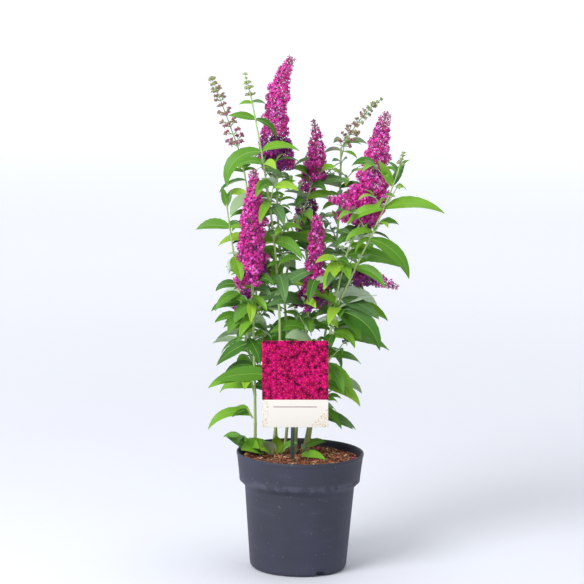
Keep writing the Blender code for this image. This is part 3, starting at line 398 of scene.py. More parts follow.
TWIGS = tuple(side_twig(*row) for row in (
    ("low_left_upper", "left", 0.42, 188, 0.01, 35, (0.45, 170, 86, 28, 62, 0), (0.97, 255, 50, 0, 60, 0),
     (0.8, 120, 62, 25, 70, 0)),
    ("low_left", "left", 0.2, 195, 0.016, 35, (0.4, 183, 86, 32, 100, 0), (0.97, 215, 34, -5, 30, 0),
     (0.7, 130, 60, 20, 70, 0)),
    ("low_left_back", "left", 0.32, 110, 0.03, 40, (0.45, 150, 78, 25, 80), (0.95, 60, 70, 30, 85)),
    ("low_right_upper", "right", 0.74, 8, 0.01, 30, (0.45, 4, 106, 5, 50, 0), (0.97, 60, 70, 20, 70, 0)),
    ("low_right_middle", "right", 0.56, 350, 0.016, 30, (0.3, 322, 62, -35, 40, 0),
     (0.55, 355, 58, -25, 40, 0), (0.97, 25, 64, 20, 70, 0)),
    ("low_right_bright", "right", 0.4, 0, 0.018, 30, (0.55, 2, 78, 10, 80, 0), (0.97, 335, 46, -10, 40, 0),
     (0.8, 60, 60, 20, 70, 0)),
    ("low_right", "right", 0.22, 5, 0.024, 30, (0.35, 350, 68, 5, 40, 0), (0.6, 10, 74, -5, 45, 0),
     (0.97, 318, 54, -20, 35, 0), (0.8, 60, 60, 20, 70, 0)),
    ("fork", "right", 0.9, 335, 0.01, 30, (0.45, 345, 104, 2, 82, 0), (0.97, 250, 66, 15, 70, 0)),
    ("low_tall", "tall", 0.2, 200, 0.02, 25, (0.97, 186, 94, 8, 26, 0), (0.5, 150, 60, 25, 65, 0)),
    ("low_back", "back", 0.26, 95, 0.034, 35, (0.45, 60, 82, 25, 85, 1.0), (0.95, 150, 74, 30, 90)),
    ("low_back_right", "back_right", 0.2, 30, 0.034, 35, (0.45, 10, 78, 25, 85), (0.95, 90, 70, 30, 85)),
    ("foot_left", "left", 0.035, 215, 0.012, 20, (0.3, 180, 52, 32, 12, 0), (0.55, 235, 40, 25, 30, 0),
     (0.97, 205, 36, 28, 30, 0), (0.97, 290, 38, 20, 30, 0)),
    ("foot_right", "right", 0.03, 300, 0.012, 25, (0.3, 305, 50, 25, 30, 0), (0.6, 255, 40, 35, 40, 0),
     (0.97, 15, 36, 40, 60, 0)),
))

# --- curves


class Path:
    """A cubic curve through space with a radius that tapers along it."""

    def __init__(self, handles: list[Vector], radii: tuple[float, float], foot: bool = False) -> None:
        """Keeps the four handles, the radii of foot and tip, and whether it has a flared foot in the soil."""
        self.handles = [Vector(h) for h in handles]
        self.radii = radii
        self.foot = foot

    def point(self, t: float) -> Vector:
        """The point at share t."""
        a, b, c, d = self.handles
        u = 1.0 - t
        return a * u**3 + b * (3 * u * u * t) + c * (3 * u * t * t) + d * t**3

    def line(self, count: int) -> list[Vector]:
        """Points at count even steps, from foot to tip."""
        return [self.point(k / count) for k in range(count + 1)]

    def direction(self, t: float) -> Vector:
        """The unit direction at share t."""
        return (self.point(min(t + 0.01, 1.0)) - self.point(max(t - 0.01, 0.0))).normalized()

    def radius(self, t: float) -> float:
        """The radius at share t, with the flare at the foot of a stem."""
        thick = self.radii[0] + (self.radii[1] - self.radii[0]) * t
        if self.foot:
            thick += FLARE * exp(-(self.point(t).z - SOIL_LEVEL) / FLARE_HEIGHT)
        return thick

    def length(self) -> float:
        """The curve's length."""
        return length_of(self.line(20))


def length_of(points: list[Vector]) -> float:
    """The length of a line of points."""
    return sum((b - a).length for a, b in zip(points, points[1:]))


def carried_on(handles: list[Vector], radii: tuple[float, float], host: Path) -> Path:
    """A Path that goes on from its host's tip, in line with it.

    Args:
        handles: Its four handles, the first of which moves to the tip.
        radii: Its radii.
        host: What it goes on from.

    Returns:
        The curve.
    """
    grain = host.direction(1.0)
    foot = host.point(1.0) + grain * CLEAR * 1.2
    step = (Vector(handles[1]) - Vector(handles[0])).length
    return Path([foot, foot + grain * step, handles[2], handles[3]], radii)


def sprout(shoot: Shoot, hosts: dict[str, Path]) -> Path:
    """The shoot's curve, grown from beside its host or from its host's tip.

    Args:
        shoot: The shoot.
        hosts: The curves made so far, by name.

    Returns:
        Its curve.
    """
    if not shoot.host:
        stem = Path(shoot.path, shoot.radii, foot=True)
        stem.handles[0].z = SOIL_LEVEL - FOOT_DEPTH
        return stem
    host = hosts[shoot.host]
    handles = [Vector(h) for h in shoot.path]
    if shoot.mass == shoot.name:
        handles = [h + host.point(shoot.at) for h in handles]
    if shoot.at >= 1.0:
        return carried_on(handles, shoot.radii, host)
    grain = host.direction(shoot.at)
    heading = (handles[1] - handles[0]).normalized()
    side = heading - grain * heading.dot(grain)
    gap = host.radius(shoot.at) + shoot.radii[0] * abs(heading.dot(grain)) + CLEAR * 2
    moved = host.point(shoot.at) + side.normalized() * gap - handles[0]
    return Path([h + moved * share for h, share in zip(handles, (1.0, 0.7, 0.3, 0.0))], shoot.radii)


# --- meshes from arrays


class Bunch:
    """Many small shapes gathered into one mesh, each face with its finish."""

    def __init__(self) -> None:
        """Starts empty."""
        self.points: list[np.ndarray] = []
        self.faces: list[tuple[int, ...]] = []
        self.finishes: list[int] = []
        self.count = 0

    def add(self, points: np.ndarray, faces: list[tuple[int, ...]], finishes: list[int] | int = 0) -> None:
        """Adds one shape.

        Args:
            points: Its corners, one row each.
            faces: Its faces, as indices of its own corners.
            finishes: One finish for all of its faces, or one each.
        """
        self.points.append(points)
        self.faces += [tuple(self.count + i for i in face) for face in faces]
        self.finishes += [finishes] * len(faces) if isinstance(finishes, int) else finishes
        self.count += len(points)

    def build(self, name: str, finishes: list[Material], smooth: bool = True) -> Object:
        """Makes the object, in the scene.

        Args:
            name: Its name.
            finishes: The materials that the face numbers stand for.
            smooth: Whether it's shaded smooth.

        Returns:
            The object.
        """
        mesh = bpy.data.meshes.new(name)
        mesh.from_pydata(np.concatenate(self.points).tolist(), [], self.faces)
        for finish in finishes:
            mesh.materials.append(finish)
        mesh.polygons.foreach_set("material_index", self.finishes)
        if smooth:
            mesh.shade_smooth()
        mesh.update()
        return linked(name, mesh)


def linked(name: str, data: bpy.types.ID) -> Object:
    """A new object in the scene with this data."""
    thing = bpy.data.objects.new(name, data)
    bpy.context.scene.collection.objects.link(thing)
    return thing


def single(
    name: str, corners: list, faces: list, finish: Material, smooth: bool = True
) -> Object:
    """A piece of one shape and one finish.

    Args:
        name: Its name.
        corners: Its corners.
        faces: Its faces.
        finish: Its material.
        smooth: Whether it's shaded smooth.

    Returns:
        The piece.
    """
    bunch = Bunch()
    bunch.add(np.array(corners), faces)
    return bunch.build(name, [finish], smooth)


def settle(thing: Object, slot: str, *nodes: str) -> None:
    """Makes a finished piece ride on the plant's one body.

    Args:
        thing: The piece.
        slot: The kind of finish the piece has, such as leaf or stem. Not used.
        nodes: The solids that it stands for.
    """
    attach(thing, "root")
    if nodes:
        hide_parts(*nodes)


def circle(radius: float, height: float, count: int, turn: float = 0.0) -> list[Triple]:
    """Points evenly round the Z axis."""
    angles = [2.0 * pi * k / count + turn for k in range(count)]
    return [(radius * cos(angle), radius * sin(angle), height) for angle in angles]


def ring_faces(rings: int, sides: int, start: int = 0, inward: bool = False) -> list[tuple[int, ...]]:
    """Faces between rings of corners that follow one another.

    Args:
        rings: How many rings.
        sides: How many corners each has.
        start: The number of the first corner.
        inward: Whether the faces look the other way.

    Returns:
        The faces.
    """
    faces = []
    for low in range(start, start + (rings - 1) * sides, sides):
        for k in range(sides):
            n = (k + 1) % sides
            face = (low + k, low + n, low + sides + n, low + sides + k)
            faces.append(face[:1] + face[:0:-1] if inward else face)
    return faces


def tube(points: list[Vector], radii: list[float], sides: int) -> Mesh:
    """A tube along a line, with a closed tip.

    Args:
        points: The line's points.
        radii: The radius at each.
        sides: How many sides.

    Returns:
        Its corners and faces.
    """
    corners = []
    level = None
    for k, (place, radius) in enumerate(zip(points, radii)):
        along = (points[min(k + 1, len(points) - 1)] - points[max(k - 1, 0)]).normalized()
        if level is None:
            level = along.cross(Vector((0.31, 0.95, 0.07))).normalized()
        level = (level - along * level.dot(along)).normalized()
        other = along.cross(level)
        for x, y, _ in circle(radius, 0.0, sides):
            corners.append(place + level * x + other * y)
    faces = ring_faces(len(points), sides)
    faces.append(tuple(range((len(points) - 1) * sides, len(points) * sides)))
    return np.array(corners), faces


def frame_on(along: Vector) -> np.ndarray:
    """A turning matrix whose third column is a given direction.

    Args:
        along: The direction.

    Returns:
        The matrix, as an array.
    """
    along = along.normalized()
    level = along.cross(Vector((0.23, 0.41, 0.88)))
    if level.length < 0.05:
        level = along.cross(Vector((1.0, 0.0, 0.0)))
    level.normalize()
    return np.array([level, along.cross(level), along]).T


def beside(along: Vector, angle: float, lift: float) -> np.ndarray:
    """The way out from a line at an angle round it, leaning along it by lift."""
    return frame_on(along) @ np.array([cos(angle), sin(angle), lift])


def placed(template: np.ndarray, along: Vector, turn: float, size: float, spot: Vector) -> np.ndarray:
    """A template's corners turned to face along, spun, scaled and moved.

    Args:
        template: Corners, with +Z outwards.
        along: Which way it faces.
        turn: Its spin about that, in radians.
        size: Its scale.
        spot: Where its origin goes.

    Returns:
        The new corners.
    """
    spin = np.array(Matrix.Rotation(turn, 3, "Z"))
    return template @ (frame_on(along) @ spin).T * size + np.array(spot)


# --- finishes


class Value:
    """One output of a node. Python's operators on it add Math nodes."""

    def __init__(self, graph: "Graph", socket: Socket) -> None:
        """Wraps a socket of a graph."""
        self.graph = graph
        self.socket = socket

    def math(self, operation: str, *terms: "Value | float") -> "Value":
        """A Math node of these terms."""
        return self.graph.value("ShaderNodeMath", {"operation": operation}, dict(enumerate(terms)))

    def __add__(self, other: "Value | float") -> "Value":
        """The sum."""
        return self.math("ADD", self, other)

    def __radd__(self, other: float) -> "Value":
        """The sum."""
        return self.math("ADD", other, self)

    def __sub__(self, other: "Value | float") -> "Value":
        """The difference."""
        return self.math("SUBTRACT", self, other)

    def __rsub__(self, other: float) -> "Value":
        """The difference."""
        return self.math("SUBTRACT", other, self)

    def __mul__(self, other: "Value | float") -> "Value":
        """The product."""
        return self.math("MULTIPLY", self, other)

    def __truediv__(self, other: "Value | float") -> "Value":
        """The quotient."""
        return self.math("DIVIDE", self, other)

    def over(self, edge: "Value | float") -> "Value":
        """1 where this is above the edge, and 0 elsewhere."""
        return self.math("GREATER_THAN", self, edge)

    def most(self, other: "Value | float") -> "Value":
        """The larger of the two."""
        return self.math("MAXIMUM", self, other)

    def least(self, other: "Value | float") -> "Value":
        """The smaller of the two."""
        return self.math("MINIMUM", self, other)

    def size(self) -> "Value":
        """The value without its sign."""
        return self.math("ABSOLUTE", self)

    def fade(self, low: float, high: float) -> "Value":
        """0 at low, 1 at high, and held to 0 and 1 beyond."""
        sockets = {0: self, 1: low, 2: high, 3: 0.0, 4: 1.0}
        return self.graph.value("ShaderNodeMapRange", {"interpolation_type": "SMOOTHSTEP"}, sockets)


class Graph:
    """The nodes of one material."""

    def __init__(self, name: str) -> None:
        """Makes a material of this name with a Principled shader."""
        self.material = bpy.data.materials.new(name)
        self.material.use_nodes = True
        self.nodes = self.material.node_tree.nodes
        self.links = self.material.node_tree.links
        self.shader = self.nodes["Principled BSDF"]

    def feed(self, socket: Socket, value: object) -> None:
        """Sets a socket, or links it.

        Args:
            socket: The input.
            value: A Value, an output socket, a number, or a colour of three numbers.
        """
        if isinstance(value, (Value, Socket)):
            self.links.new(value.socket if isinstance(value, Value) else value, socket)
        elif isinstance(value, tuple) and socket.type == "RGBA":
            socket.default_value = (*value, 1.0)
        else:
            socket.default_value = value

    def node(self, kind: str, settings: dict[str, object], sockets: dict[object, object]) -> bpy.types.Node:
        """Adds any node.

        Args:
            kind: The node's type.
            settings: Its properties.
            sockets: Its inputs by number or name.

        Returns:
            The node.
        """
        made = self.nodes.new(kind)
        for key, setting in settings.items():
            setattr(made, key, setting)
        for key, value in sockets.items():
            self.feed(made.inputs[key], value)
        return made

    def value(self, kind: str, settings: dict[str, object], sockets: dict, output: int | str = 0) -> Value:
        """An output of a new node, as a Value."""
        return Value(self, self.node(kind, settings, sockets).outputs[output])

    def place(self, stretch: Triple = (1.0, 1.0, 1.0)) -> Socket:
        """The point on the object in metres, stretched."""
        where = self.node("ShaderNodeTexCoord", {}, {}).outputs["Object"]
        return self.node("ShaderNodeMapping", {}, {"Vector": where, "Scale": stretch}).outputs[0]

    def noise(
        self, where: Socket, scale: float, detail: float = 4.0, rough: float = 0.55
    ) -> Value:
        """Noise at a scale, from 0 to 1."""
        look = {"Vector": where, "Scale": scale, "Detail": detail, "Roughness": rough}
        return self.value("ShaderNodeTexNoise", {}, look)

    def cells(self, where: Socket, scale: float) -> Value:
        """The distance to the nearest of many scattered points."""
        return self.value("ShaderNodeTexVoronoi", {}, {"Vector": where, "Scale": scale}, "Distance")

    def axis(self, where: Socket, name: str) -> Value:
        """One coordinate, X, Y or Z, of a point."""
        return self.value("ShaderNodeSeparateXYZ", {}, {0: where}, name)

    def far(self, where: Socket) -> Value:
        """How far a point is from the origin."""
        return self.value("ShaderNodeVectorMath", {"operation": "LENGTH"}, {0: where}, "Value")

    def mix(self, share: Value | float, first: object, second: object) -> Socket:
        """A blend of two colours."""
        sockets = {"Factor": share, 6: first, 7: second}
        return self.node("ShaderNodeMix", {"data_type": "RGBA"}, sockets).outputs[2]

    def bump(self, height: Value, distance: float, strength: float) -> None:
        """Raises the surface by a height pattern."""
        made = self.node("ShaderNodeBump", {}, {"Height": height, "Distance": distance, "Strength": strength})
        self.feed(self.shader.inputs["Normal"], made.outputs[0])

    def surface(self, **inputs: object) -> Material:
        """Sets the shader's inputs, underscores standing for spaces, and gives the material."""
        for key, value in inputs.items():
            self.feed(self.shader.inputs[key.replace("_", " ")], value)
        return self.material


def colour(red: int, green: int, blue: int) -> Colour:
    """A linear colour from the 0 to 255 numbers that a paint chart gives."""
    parts = [c / 255.0 for c in (red, green, blue)]
    return tuple(p / 12.92 if p <= 0.04045 else ((p + 0.055) / 1.055) ** 2.4 for p in parts)


@dataclass(frozen=True)
class PlainFinish:
    """One plain colour of leaf, petal, bud or chip, dealt out piece by piece."""

    name: str
    rgb: tuple[int, int, int]
    roughness: float = 0.55
    sheen: float = 0.0
    specular: float = 0.35

    def material(self) -> Material:
        """The material."""
        looks = {"Roughness": self.roughness, "Sheen_Weight": self.sheen, "Specular_IOR_Level": self.specular}
        return Graph(self.name).surface(Base_Color=colour(*self.rgb), **looks)


class Palette(Enum):
    """A set of plain finishes for one kind of piece, in the order of its materials."""

    @property
    def number(self) -> int:
        """The finish's place among the materials."""
        return list(type(self)).index(self)

    @classmethod
    def materials(cls) -> list[Material]:
        """The materials of the whole set."""
        return [finish.value.material() for finish in cls]


# --- leaves


class LeafTone(Palette):
    """The finishes of a leaf's faces."""

    FRESH = PlainFinish("leaf_fresh", (146, 190, 54), 0.44, 0.0, 0.25)
    GRASS = PlainFinish("leaf_grass", (114, 168, 44), 0.46, 0.0, 0.25)
    MEADOW = PlainFinish("leaf_meadow", (90, 142, 42), 0.46, 0.0, 0.25)
    SHADE = PlainFinish("leaf_shade", (64, 112, 34), 0.46, 0.0, 0.25)
    BLUE = PlainFinish("leaf_blue", (84, 124, 68), 0.46, 0.0, 0.30)
    RIB = PlainFinish("leaf_rib", (136, 178, 82), 0.55, 0.0, 0.25)
    FELT = PlainFinish("leaf_felt", (158, 184, 140), 0.80, 0.15, 0.20)
    MINT = PlainFinish("leaf_mint", (200, 218, 192), 0.85, 0.20, 0.20)


LEAF_MIX = [LeafTone.FRESH] * 4 + [LeafTone.GRASS] * 9 + [LeafTone.MEADOW] * 11
LEAF_MIX += [LeafTone.SHADE] * 9 + [LeafTone.BLUE] * 5

MINT_SHARE = 0.35
TOOTH_OUT = 0.030
TOOTH_IN = -0.020
TIP_BARE = 0.93
QUILT = 0.034
RIB_HEIGHT = 0.00015
THICKNESS = 0.0055
THINNEST = 0.0003
SAMPLE_STEP = 0.007

# The columns of corners across a blade, upper face and then underside: (place, height in thicknesses).
RIB_EDGE = 0.01
VEIN = 0.55
BLADE = (
    (-1.0, 0.0), (-VEIN, 0.5), (-RIB_EDGE, 0.5), (0.0, 0.5), (RIB_EDGE, 0.5), (VEIN, 0.5), (1.0, 0.0),
    (1.0, -0.04), (VEIN, -0.5), (0.0, -2.1), (-VEIN, -0.5), (-1.0, -0.04),
)


@dataclass(frozen=True)
class Leaf:
    """One leaf: where it is rooted and how it arches. Angles are degrees."""

    root: Vector
    bearing: float
    rise: float
    droop: float
    length: float
    twist: float = 0.0
    curl: float = 0.0
    share: float = LEAF_WIDTH_SHARE

    def stations(self, count: int) -> list[tuple[Vector, Vector, Vector]]:
        """Places along an arc that bends down and sideways.

        Args:
            count: How many even steps it has.

        Returns:
            The centre, the way across and the way up at each, from root to tip.
        """
        fine = 4
        spots = []
        spot = self.root.copy()
        for k in range(count * fine + 1):
            s = k / (count * fine)
            bearing = self.bearing + self.curl * s
            along = heading_of(bearing, self.rise - self.droop * s)
            if k % fine == 0:
                across = Matrix.Rotation(radians(self.twist), 3, along) @ heading_of(bearing + 90.0, 0.0)
                spots.append((spot.copy(), across, along.cross(across)))
            spot = spot + along * self.length / (count * fine)
        return spots

    def half_width(self, s: float) -> float:
        """Half the blade's width at share s: widest at two fifths, drawn out to a fine tip."""
        return max(0.5 * self.length * self.share * sin(pi * s**0.76) ** 0.85, 0.0)

    def samples(self) -> list[Vector]:
        """Points over the blade, about 7 mm apart, to tell what it touches."""
        count = max(3, round(self.length / SAMPLE_STEP))
        points = []
        for k, (centre, across, _) in enumerate(self.stations(count)):
            half = self.half_width(k / count)
            points.append(centre)
            if half > 0.004:
                points += [centre + across * half * 0.75, centre - across * half * 0.75]
        return points

    def shape(self, bunch: Bunch, rng: Random, chosen: LeafTone | None = None) -> None:
        """Adds the blade: a quilted upper face with a rib, and a felted underside, meeting at a toothed edge.

        Args:
            bunch: What it's added to.
            rng: The seeded numbers that choose its colour, fold and waves.
            chosen: Its upper finish, where that isn't left to chance.
        """
        tone = (chosen or rng.choice(LEAF_MIX)).number
        pale = (LeafTone.MINT if rng.random() < MINT_SHARE else LeafTone.FELT).number
        fold = rng.uniform(-0.05, 0.46)
        wave = rng.uniform(0.02, 0.10)
        phase = rng.uniform(0.0, 6.28)
        count = 16 if self.length > 0.055 else 12 if self.length > 0.032 else 8
        thick = max(THINNEST, self.length * THICKNESS)
        points = []
        for k, (centre, across, up) in enumerate(self.stations(count)):
            s = k / count
            half = max(self.half_width(s), 0.0009 * (1.0 - s), 1e-6)
            tooth = 1.0 + (TOOTH_OUT if k % 2 else TOOTH_IN) * (0.0 < s < TIP_BARE)
            quilt = QUILT * half * (1.0 if k % 2 else -1.0) * (0.05 < s < 0.95)
            rib = min((0.00030 + self.length * 0.0030) * (1.0 - 0.8 * s), half * 0.5)
            for place, height in BLADE:
                by_rib = abs(place) == RIB_EDGE
                reach = copysign(rib, place) if by_rib else half * tooth * place
                share = reach / half
                lift = fold * half * share * share + thick * height + RIB_HEIGHT * by_rib
                lift += wave * half * sin(phase + 9.0 * s + 1.4 * share) * abs(share)
                lift += quilt * (abs(place) == VEIN)
                points.append(centre + across * reach + up * lift)
        faces = []
        finishes = []
        for near in range(0, count * len(BLADE), len(BLADE)):
            far = near + len(BLADE)
            for a in range(6):
                faces.append((near + a, near + a + 1, far + a + 1, far + a))
                finishes.append(LeafTone.RIB.number if a in (2, 3) else tone)
            for a in range(7, 11):
                faces.append((near + a + 1, far + a + 1, far + a, near + a))
                finishes.append(pale)
        bunch.add(np.array(points), faces, finishes)


class Thicket:
    """Points of what stands already, in a grid, so that a new leaf or twig can be kept off it."""

    cell = 0.008

    def __init__(self) -> None:
        """Starts empty."""
        self.grid: dict[tuple[int, ...], list[Vector]] = {}

    def take(self, points: list[Vector]) -> None:
        """Adds points."""
        for point in points:
            key = tuple(floor(c / self.cell) for c in point)
            self.grid.setdefault(key, []).append(point)

    def free(self, points: list[Vector], root: Vector, reach: float, ease: float = 0.012) -> bool:
        """Whether points lie in the crown, behind the label, and off what stands already.

        Args:
            points: The points.
            root: Where their shape is rooted. Nothing counts within ease of it.
            reach: How far they keep from what stands already.
            ease: That distance.

        Returns:
            Whether all of them do.
        """
        steps = (-1, 0, 1)
        for point in points:
            if any(point[k] < CROWN_LOW[k] - 0.004 or point[k] > CROWN_HIGH[k] + 0.004 for k in range(3)):
                return False
            if in_front_of_label(point):
                return False
            if (point - root).length < ease:
                continue
            x, y, z = (floor(c / self.cell) for c in point)
            near = [(x + dx, y + dy, z + dz) for dx in steps for dy in steps for dz in steps]
            if any((other - point).length < reach for key in near for other in self.grid.get(key, ())):
                return False
        return True


# The crown's outline: (height, left, right) at each level.
CROWN_SHAPE = (
    (0.190, -0.135, 0.050), (0.250, -0.150, 0.105), (0.330, -0.160, 0.130), (0.420, -0.150, 0.140),
    (0.500, -0.150, 0.170), (0.600, -0.160, 0.175), (0.640, -0.135, 0.180), (0.690, -0.115, 0.150),
    (0.720, -0.105, 0.075), (0.860, -0.100, 0.060),
)


def in_crown(spot: Vector) -> bool:
    """Whether a point lies within the crown's outline, which is widest at its middle and open at its top."""
    for (low, left, right), (high, far_left, far_right) in zip(CROWN_SHAPE, CROWN_SHAPE[1:]):
        if low <= spot.z <= high:
            share = (spot.z - low) / (high - low)
            return left + (far_left - left) * share <= spot.x <= right + (far_right - right) * share
    return False


def in_front_of_label(spot: Vector) -> bool:
    """Whether a point would hide the label's face."""
    x, y, z = LABEL_CENTRE
    beside_it = abs(spot.x - x) >= LABEL_WIDTH / 2 + 0.002 or abs(spot.z - z) >= LABEL_HEIGHT / 2 + 0.003
    return not beside_it and spot.y < y + 0.004


def turned_out(bearing: float, slope: float, depth: float = 0.0, share: float = 0.55) -> float:
    """The twist in degrees that turns a leaf's blade out of the crown. One that rises steeply turns fully.

    Args:
        bearing: The leaf's bearing in degrees.
        slope: Its rise at the middle of the blade, in degrees.
        depth: How far back it stands. Those at the back that point there are turned to the back.
        share: How much of the whole turn it makes.

    Returns:
        The twist.
    """
    most = 46.0
    steep = 50.0
    past_flat = 112.0
    along = heading_of(bearing, slope)
    level = heading_of(bearing + 90.0, 0.0)
    up = along.cross(level)
    front = Vector((0.0, 1.0 if depth > 0.07 and level.x < 0.0 else -1.0, 0.16))
    front = (front - along * front.dot(along)).normalized()
    whole = degrees(atan2(up.cross(front).dot(along), up.dot(front)))
    if slope > steep:
        return whole
    if abs(whole) > past_flat:
        whole -= copysign(180.0, whole)
    return max(-most, min(most, whole * share))


@dataclass(frozen=True)
class Sprig:
    """A single leaf: where along its shoot it stands, how it arches, how wide it is and how far off it is.

    One that is turned over shows its felted side.
    """

    at: float
    bearing: float
    length: float
    rise: float
    droop: float
    share: float = 0.30
    over: bool = False
    beside: Triple = (0.0, 0.0, 0.0)
    tone: LeafTone | None = None


SPRIGS = {
    # Painted light: the foot's leaves are held to the light greens FRESH and GRASS, to make up for the shadow
    # that the label casts on them.
    "leaves_foot_left": each(
        Sprig,
        (0.0, 215, 50, 48, 75, 0.66, False, (0.018, -0.010, -0.004), LeafTone.GRASS),
        (0.0, 255, 46, 58, 85, 0.62, False, (0.024, -0.012, -0.004), LeafTone.FRESH),
        (0.0, 200, 44, 58, 80, 0.56, False, (0.026, -0.004, -0.006), LeafTone.GRASS),
        (0.0, 268, 46, 78, 50, 0.46, False, (0.040, -0.006, -0.006), LeafTone.FRESH),
        (0.0, 322, 44, 62, 60, 0.42, False, (0.046, -0.004, -0.006), LeafTone.GRASS),
        (0.0, 235, 40, 70, 60, 0.46, False, (0.034, -0.006, -0.006), LeafTone.FRESH),
    ),
    "leaves_foot_right": each(
        Sprig,
        (0.0, 316, 60, 24, 45, 0.26, False, (-0.008, -0.010, -0.004), LeafTone.GRASS),
        (0.0, 245, 36, 60, 60, 0.40, False, (-0.016, -0.004, -0.004), LeafTone.MEADOW),
    ),
    "leaves_low_left_upper": each(Sprig, (0.40, 200, 80, 12, 50, 0.28), (0.97, 320, 40, -10, 45, 0.36)),
    "leaves_back_bough_left": each(
        Sprig, (0.78, 175, 58, 46, 8, 0.15), (0.74, 190, 52, -2, 62, 0.13), (0.70, 318, 54, -14, 50, 0.36)
    ),
    "leaves_left": each(Sprig, (0.86, 205, 48, -22, 50, 0.48), (0.90, 320, 40, -14, 40, 0.34)),
    "leaves_left_spike": each(Sprig, (0.76, 218, 50, -22, 44, 0.40, True), (0.62, 300, 44, -20, 50, 0.34)),
    "leaves_centre": each(
        Sprig,
        (1.0, 204, 88, -8, 44, 0.24, False, (0.009, -0.018, 0.060), LeafTone.BLUE),
        (1.0, 250, 60, -20, 50, 0.30, False, (0.012, -0.014, 0.050), LeafTone.SHADE),
        (0.99, 205, 82, 38, 76, 0.28, False, (0.000, -0.004, 0.000)),
        (0.86, 285, 40, 20, 70, 0.46, True),
        (0.72, 212, 52, 34, 58, 0.46, True, (0.010, -0.010, 0.010)),
    ),
    "leaves_upper": each(
        Sprig,
        (0.50, 228, 72, -20, 45, 0.33), (0.40, 280, 60, 15, 60), (0.66, 15, 40, 20, 60),
        (0.30, 210, 56, 12, 60, 0.40, True),
    ),
    "leaves_left_outer": each(
        Sprig,
        (0.12, 305, 56, -25, 42, 0.32), (0.30, 225, 48, -28, 34, 0.38),
        (0.67, 292, 50, -30, 34, 0.46, False, (0.0, 0.0, 0.0), LeafTone.GRASS),
        (0.85, 175, 58, 20, 50, 0.38, False, (0.0, 0.0, 0.0), LeafTone.MEADOW),
    ),
    "leaves_bough_centre": each(
        Sprig,
        (0.50, 318, 66, 30, 60), (0.66, 285, 62, 25, 60), (0.78, 250, 56, 30, 70), (0.90, 300, 56, 40, 70),
        (0.985, 322, 58, 62, 62, 0.36), (0.985, 222, 56, 60, 66, 0.36), (0.97, 345, 66, 24, 40, 0.26),
    ),
}

# How wide some masses' leaves are, beside those of their solids.
WIDTHS = {
    "leaves_low_left_upper": 1.50, "leaves_low_left": 0.85, "leaves_foot_left": 1.60,
    "leaves_foot_right": 1.30, "leaves_left_outer": 1.25, "leaves_left": 1.30, "leaves_right": 1.02,
}


def leaves_of(pair: Pair, path: Path, rng: Random, width: float) -> list[Leaf]:
    """The one or two leaves of a pair, rooted at the middle of the shoot.

    Args:
        pair: The pair.
        path: The shoot's curve.
        rng: The mass's seeded numbers.
        width: How wide they are beside those of the solid.

    Returns:
        The leaves.
    """
    leaves = []
    for turn, size in ((0.0, 1.0), (180.0, pair.mate)):
        wobble = [rng.uniform(-1.0, 1.0) for _ in range(5)]
        if size == 0:
            continue
        bearing = pair.bearing + turn + 5.0 * wobble[0]
        rise = pair.rise + 4.0 * wobble[1]
        droop = pair.droop + 6.0 * wobble[2]
        node = path.point(pair.at) + path.direction(pair.at) * (NODE_STEP if turn else -NODE_STEP)
        root = node - heading_of(bearing, 0.0) * ROOT_DEPTH
        twist = 14.0 * wobble[3] + turned_out(bearing, rise - droop / 2, node.y)
        share = LEAF_WIDTH_SHARE * width
        leaves.append(Leaf(root, bearing, rise, droop, pair.length * size, twist, 16.0 * wobble[4], share))
    return leaves


